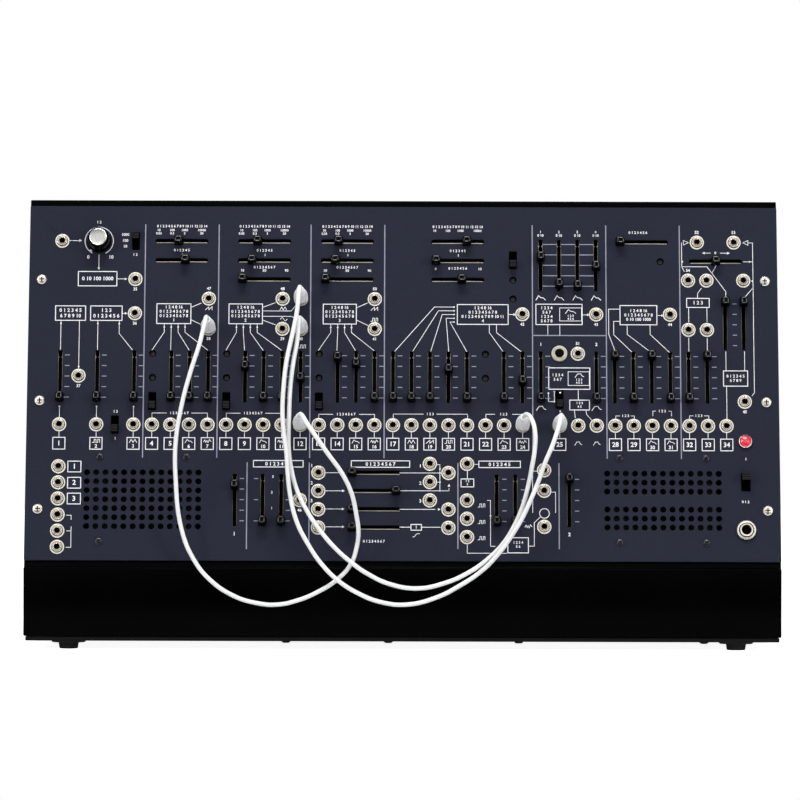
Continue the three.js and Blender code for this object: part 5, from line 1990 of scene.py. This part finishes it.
def build_camera():
    lens = bpy.data.cameras.new("camera")
    lens.lens = CAMERA_LENS
    lens.sensor_width = 36
    lens.clip_start = 0.1
    lens.clip_end = 50
    camera = put_in_scene("camera", lens)
    level = Matrix.Translation(CAMERA_PLACE) @ Matrix.Rotation(math.pi / 2, 4, "X")
    camera.matrix_world = level @ Matrix.Rotation(CAMERA_ROLL, 4, "Z")
    bpy.context.scene.camera = camera


def looked_at(tree, path):
    """Is 1 where the camera sees a surface, directly or through glass."""
    rays = {0: path["Is Camera Ray"], 1: path["Is Transmission Ray"]}
    return node(tree, "ShaderNodeMath", rays, operation="MAXIMUM").outputs[0]


def build_world():
    """White behind the object and above it. The room behind the camera is dark, as black gloss
    shows, and the light that falls on the object from all round is soft and plain."""
    world = bpy.data.worlds.new("studio")
    world.use_nodes = True
    bpy.context.scene.world = world
    tree = world.node_tree
    tree.nodes.clear()
    path = node(tree, "ShaderNodeLightPath").outputs
    heading = node(tree, "ShaderNodeTexCoord").outputs["Object"]
    parts = node(tree, "ShaderNodeSeparateXYZ", {0: heading}).outputs
    backdrop = node(
        tree,
        "ShaderNodeMapRange",
        {"Value": parts["Y"], "From Min": -0.2, "From Max": 0.1, "To Min": DARK_ROOM, "To Max": 1.0},
    )
    above = node(
        tree,
        "ShaderNodeMapRange",
        {"Value": parts["Z"], "From Min": 0.06, "From Max": 0.3, "To Min": DARK_ROOM, "To Max": 1.0},
    )
    aside = node(tree, "ShaderNodeMath", {0: parts["X"]}, operation="ABSOLUTE").outputs[0]
    ahead = node(
        tree,
        "ShaderNodeMapRange",
        {"Value": aside, "From Min": 0.3, "From Max": 0.7, "To Min": 1.0, "To Max": 0.15},
    )
    wall = node(
        tree, "ShaderNodeMath", {0: above.outputs[0], 1: ahead.outputs[0]}, operation="MULTIPLY"
    )
    lit = node(
        tree, "ShaderNodeMath", {0: backdrop.outputs[0], 1: wall.outputs[0]}, operation="MAXIMUM"
    )
    room = node(
        tree, "ShaderNodeBackground", {"Color": (1, 1, 1, 1), "Strength": lit.outputs[0]}
    )
    soft = node(
        tree, "ShaderNodeBackground", {"Color": linear("f2f4f8"), "Strength": AMBIENT_STRENGTH}
    )
    white = node(tree, "ShaderNodeBackground", {"Color": (1, 1, 1, 1), "Strength": 1.0})
    mirrored = node(
        tree, "ShaderNodeMixShader", {0: path["Is Glossy Ray"], 1: soft.outputs[0], 2: room.outputs[0]}
    )
    seen = node(
        tree,
        "ShaderNodeMixShader",
        {0: looked_at(tree, path), 1: mirrored.outputs[0], 2: white.outputs[0]},
    )
    node(tree, "ShaderNodeOutputWorld", {"Surface": seen.outputs[0]})


def white_paper():
    # Seamless white paper: matt, lifted to full white where it is looked at, so that only the
    # object's own shadow shows on it
    material = bpy.data.materials.new("white_paper")
    material.use_nodes = True
    tree = material.node_tree
    tree.nodes.clear()
    path = node(tree, "ShaderNodeLightPath").outputs
    matt = node(tree, "ShaderNodeBsdfDiffuse", {"Color": linear("e6e6e6")})
    mirrored = node(
        tree, "ShaderNodeMath", {0: path["Is Glossy Ray"], 1: PAPER_MIRRORED_LIFT}, operation="MULTIPLY"
    )
    glow = node(
        tree,
        "ShaderNodeMath",
        {0: looked_at(tree, path), 1: PAPER_LIFT, 2: mirrored.outputs[0]},
        operation="MULTIPLY_ADD",
    )
    lift = node(tree, "ShaderNodeEmission", {"Strength": glow.outputs[0]})
    total = node(tree, "ShaderNodeAddShader", {0: matt.outputs[0], 1: lift.outputs[0]})
    node(tree, "ShaderNodeOutputMaterial", {"Surface": total.outputs[0]})
    return material


def build_stage():
    """The table ends just in front of the object, so the case mirrors the dark room there."""
    build_world()
    side, front, back = 4.0, -0.3, 4.0
    paper = bpy.data.meshes.new("paper")
    corners = [(-side, front, 0), (side, front, 0), (side, back, 0), (-side, back, 0)]
    paper.from_pydata(corners, [], [(0, 1, 2, 3)])
    paper.materials.append(white_paper())
    put_in_scene("paper_table", paper)
    middle = (0, 0, CASE_HEIGHT / 2)
    add_softbox("overhead_softbox", (0, -0.8, 1.7), middle, 1.1, 0.3, 20)
    add_softbox("left_softbox", (-1.5, -1.5, 0.7), middle, 0.5, 0.9, 12)
    add_softbox("right_softbox", (1.5, -1.5, 0.7), middle, 0.5, 0.9, 12)
    add_softbox("rear_softbox", (0.3, 1.9, 1.2), middle, 1.4, 1.0, 9)
    bpy.context.scene.view_settings.view_transform = "Standard"


class SynthesizerSizes(bpy.types.PropertyGroup):
    """Sizes and colours that a user would change."""

    slot_length: FloatProperty(
        name="Slot length", description="Length of a slider's slot", default=SLOT_LENGTH, unit="LENGTH"
    )
    slot_width: FloatProperty(
        name="Slot width", description="Width of a slider's slot", default=SLOT_WIDTH, unit="LENGTH"
    )
    grille_hole: FloatProperty(
        name="Grille hole", description="Diameter of a speaker hole", default=4.15 * MM, unit="LENGTH"
    )
    panel_edge: FloatProperty(
        name="Panel edge", description="Rounding of the panel's edges", default=0.22 * MM, unit="LENGTH"
    )
    case_edge: FloatProperty(
        name="Case edge", description="Rounding of the case's folds", default=0.7 * MM, unit="LENGTH"
    )
    panel_colour: FloatVectorProperty(
        name="Panel colour",
        description="Lightest shade of the panel's powder coat",
        default=linear("2b2e3c")[:3],
        subtype="COLOR",
    )
    print_colour: FloatVectorProperty(
        name="Print colour", description="Ink of the lines", default=linear("fafafc")[:3], subtype="COLOR"
    )
    scale_colour: FloatVectorProperty(
        name="Scale colour", description="Ink of the scales", default=linear("9a9aac")[:3], subtype="COLOR"
    )
    cord_colour: FloatVectorProperty(
        name="Cord colour", description="Jackets of the cords", default=linear("f7f7f6")[:3], subtype="COLOR"
    )
    lamp_colour: FloatVectorProperty(
        name="Lamp colour", description="Jewel of the lamp", default=linear("ee2c46")[:3], subtype="COLOR"
    )


class SYNTHESIZER_OT_stage_camera(bpy.types.Operator):
    """Sets the camera where the photograph was taken."""

    bl_idname = "synthesizer.stage_camera"
    bl_label = "Camera"

    def execute(self, context):
        build_camera()
        return {"FINISHED"}


class SYNTHESIZER_OT_patch_cords(bpy.types.Operator):
    """Lays the three cords and their plugs."""

    bl_idname = "synthesizer.patch_cords"
    bl_label = "Patch cords"

    def execute(self, context):
        build_patch_cords()
        return {"FINISHED"}


class SYNTHESIZER_OT_front_panel(bpy.types.Operator):
    """Punches the panel sheet."""

    bl_idname = "synthesizer.front_panel"
    bl_label = "Front panel"

    def execute(self, context):
        build_front_panel(context.scene.synthesizer_sizes)
        return {"FINISHED"}


class SYNTHESIZER_OT_panel_print(bpy.types.Operator):
    """Prints lines, scales and symbols on the panel."""

    bl_idname = "synthesizer.panel_print"
    bl_label = "Panel print"

    def execute(self, context):
        build_panel_print()
        return {"FINISHED"}


class SYNTHESIZER_OT_patch_sockets(bpy.types.Operator):
    """Fits the nuts, liners and contacts of the sockets."""

    bl_idname = "synthesizer.patch_sockets"
    bl_label = "Patch sockets"

    def execute(self, context):
        build_patch_sockets()
        return {"FINISHED"}


class SYNTHESIZER_OT_slider_caps(bpy.types.Operator):
    """Fits a cap on every slider."""

    bl_idname = "synthesizer.slider_caps"
    bl_label = "Slider caps"

    def execute(self, context):
        build_slider_caps()
        return {"FINISHED"}


class SYNTHESIZER_OT_slot_fittings(bpy.types.Operator):
    """Fits track strips, tabs and trimmer dials."""

    bl_idname = "synthesizer.slot_fittings"
    bl_label = "Slot fittings"

    def execute(self, context):
        build_slot_fittings(context.scene.synthesizer_sizes)
        return {"FINISHED"}


class SYNTHESIZER_OT_switch_levers(bpy.types.Operator):
    """Fits the ribbed levers."""

    bl_idname = "synthesizer.switch_levers"
    bl_label = "Switch levers"

    def execute(self, context):
        build_switch_levers()
        return {"FINISHED"}


class SYNTHESIZER_OT_gain_knob(bpy.types.Operator):
    """Makes the knob, its disc and mark."""

    bl_idname = "synthesizer.gain_knob"
    bl_label = "Gain knob"

    def execute(self, context):
        build_gain_knob()
        return {"FINISHED"}


class SYNTHESIZER_OT_start_button(bpy.types.Operator):
    """Makes the button and its ring."""

    bl_idname = "synthesizer.start_button"
    bl_label = "Start button"

    def execute(self, context):
        build_start_button()
        return {"FINISHED"}


class SYNTHESIZER_OT_power_lamp(bpy.types.Operator):
    """Cuts the jewel and turns its bezel."""

    bl_idname = "synthesizer.power_lamp"
    bl_label = "Power lamp"

    def execute(self, context):
        build_power_lamp()
        return {"FINISHED"}


class SYNTHESIZER_OT_headphone_socket(bpy.types.Operator):
    """Turns the headphone socket."""

    bl_idname = "synthesizer.headphone_socket"
    bl_label = "Headphone socket"

    def execute(self, context):
        build_headphone_socket()
        return {"FINISHED"}


class SYNTHESIZER_OT_screws(bpy.types.Operator):
    """Drives the panel, speaker and cover screws."""

    bl_idname = "synthesizer.screws"
    bl_label = "Screws"

    def execute(self, context):
        build_screws()
        return {"FINISHED"}


class SYNTHESIZER_OT_cabinet_shell(bpy.types.Operator):
    """Rounds and enamels the steel shell."""

    bl_idname = "synthesizer.cabinet_shell"
    bl_label = "Cabinet shell"

    def execute(self, context):
        build_cabinet_shell(context.scene.synthesizer_sizes)
        return {"FINISHED"}


class SYNTHESIZER_OT_base_and_rear(bpy.types.Operator):
    """Makes the base plate, feet and rear cover."""

    bl_idname = "synthesizer.base_and_rear"
    bl_label = "Base and rear cover"

    def execute(self, context):
        build_base()
        build_rear_cover()
        return {"FINISHED"}


class SYNTHESIZER_OT_rear_sockets(bpy.types.Operator):
    """Makes the sockets at the back."""

    bl_idname = "synthesizer.rear_sockets"
    bl_label = "Rear sockets"

    def execute(self, context):
        build_rear_board()
        build_round_sockets()
        build_data_port()
        build_power_inlet()
        return {"FINISHED"}


class SYNTHESIZER_OT_frame_finishes(bpy.types.Operator):
    """Finishes the pieces kept from the frame."""

    bl_idname = "synthesizer.frame_finishes"
    bl_label = "Frame finishes"

    def execute(self, context):
        finish_frame_nodes()
        return {"FINISHED"}


class SYNTHESIZER_OT_stage(bpy.types.Operator):
    """Sets the floor, the background and the lamps."""

    bl_idname = "synthesizer.stage"
    bl_label = "Stage"

    def execute(self, context):
        build_stage()
        return {"FINISHED"}


OPERATORS = [
    SYNTHESIZER_OT_stage_camera,
    SYNTHESIZER_OT_patch_cords,
    SYNTHESIZER_OT_front_panel,
    SYNTHESIZER_OT_panel_print,
    SYNTHESIZER_OT_patch_sockets,
    SYNTHESIZER_OT_slider_caps,
    SYNTHESIZER_OT_slot_fittings,
    SYNTHESIZER_OT_switch_levers,
    SYNTHESIZER_OT_gain_knob,
    SYNTHESIZER_OT_start_button,
    SYNTHESIZER_OT_power_lamp,
    SYNTHESIZER_OT_headphone_socket,
    SYNTHESIZER_OT_screws,
    SYNTHESIZER_OT_cabinet_shell,
    SYNTHESIZER_OT_base_and_rear,
    SYNTHESIZER_OT_rear_sockets,
    SYNTHESIZER_OT_frame_finishes,
    SYNTHESIZER_OT_stage,
]


class SYNTHESIZER_PT_pieces(bpy.types.Panel):
    """Lists the sizes and the pieces."""

    bl_label = "Synthesizer"
    bl_idname = "SYNTHESIZER_PT_pieces"
    bl_space_type = "VIEW_3D"
    bl_region_type = "UI"
    bl_category = "Synthesizer"

    def draw(self, context):
        sizes = context.scene.synthesizer_sizes
        for name in sizes.__annotations__:
            self.layout.prop(sizes, name)
        for operator in OPERATORS:
            self.layout.operator(operator.bl_idname)


def register():
    for kind in (SynthesizerSizes, *OPERATORS, SYNTHESIZER_PT_pieces):
        bpy.utils.register_class(kind)
    bpy.types.Scene.synthesizer_sizes = PointerProperty(type=SynthesizerSizes)


def unregister():
    del bpy.types.Scene.synthesizer_sizes
    for kind in (SYNTHESIZER_PT_pieces, *reversed(OPERATORS), SynthesizerSizes):
        bpy.utils.unregister_class(kind)


def main():
    register()
    build = bpy.ops.synthesizer
    build.stage_camera()
    build.patch_cords()
    build.front_panel()
    build.panel_print()
    build.patch_sockets()
    build.slider_caps()
    build.slot_fittings()
    build.switch_levers()
    build.gain_knob()
    build.start_button()
    build.power_lamp()
    build.headphone_socket()
    build.screws()
    build.cabinet_shell()
    build.base_and_rear()
    build.rear_sockets()
    build.frame_finishes()
    build.stage()


if __name__ == "__main__":
    main()
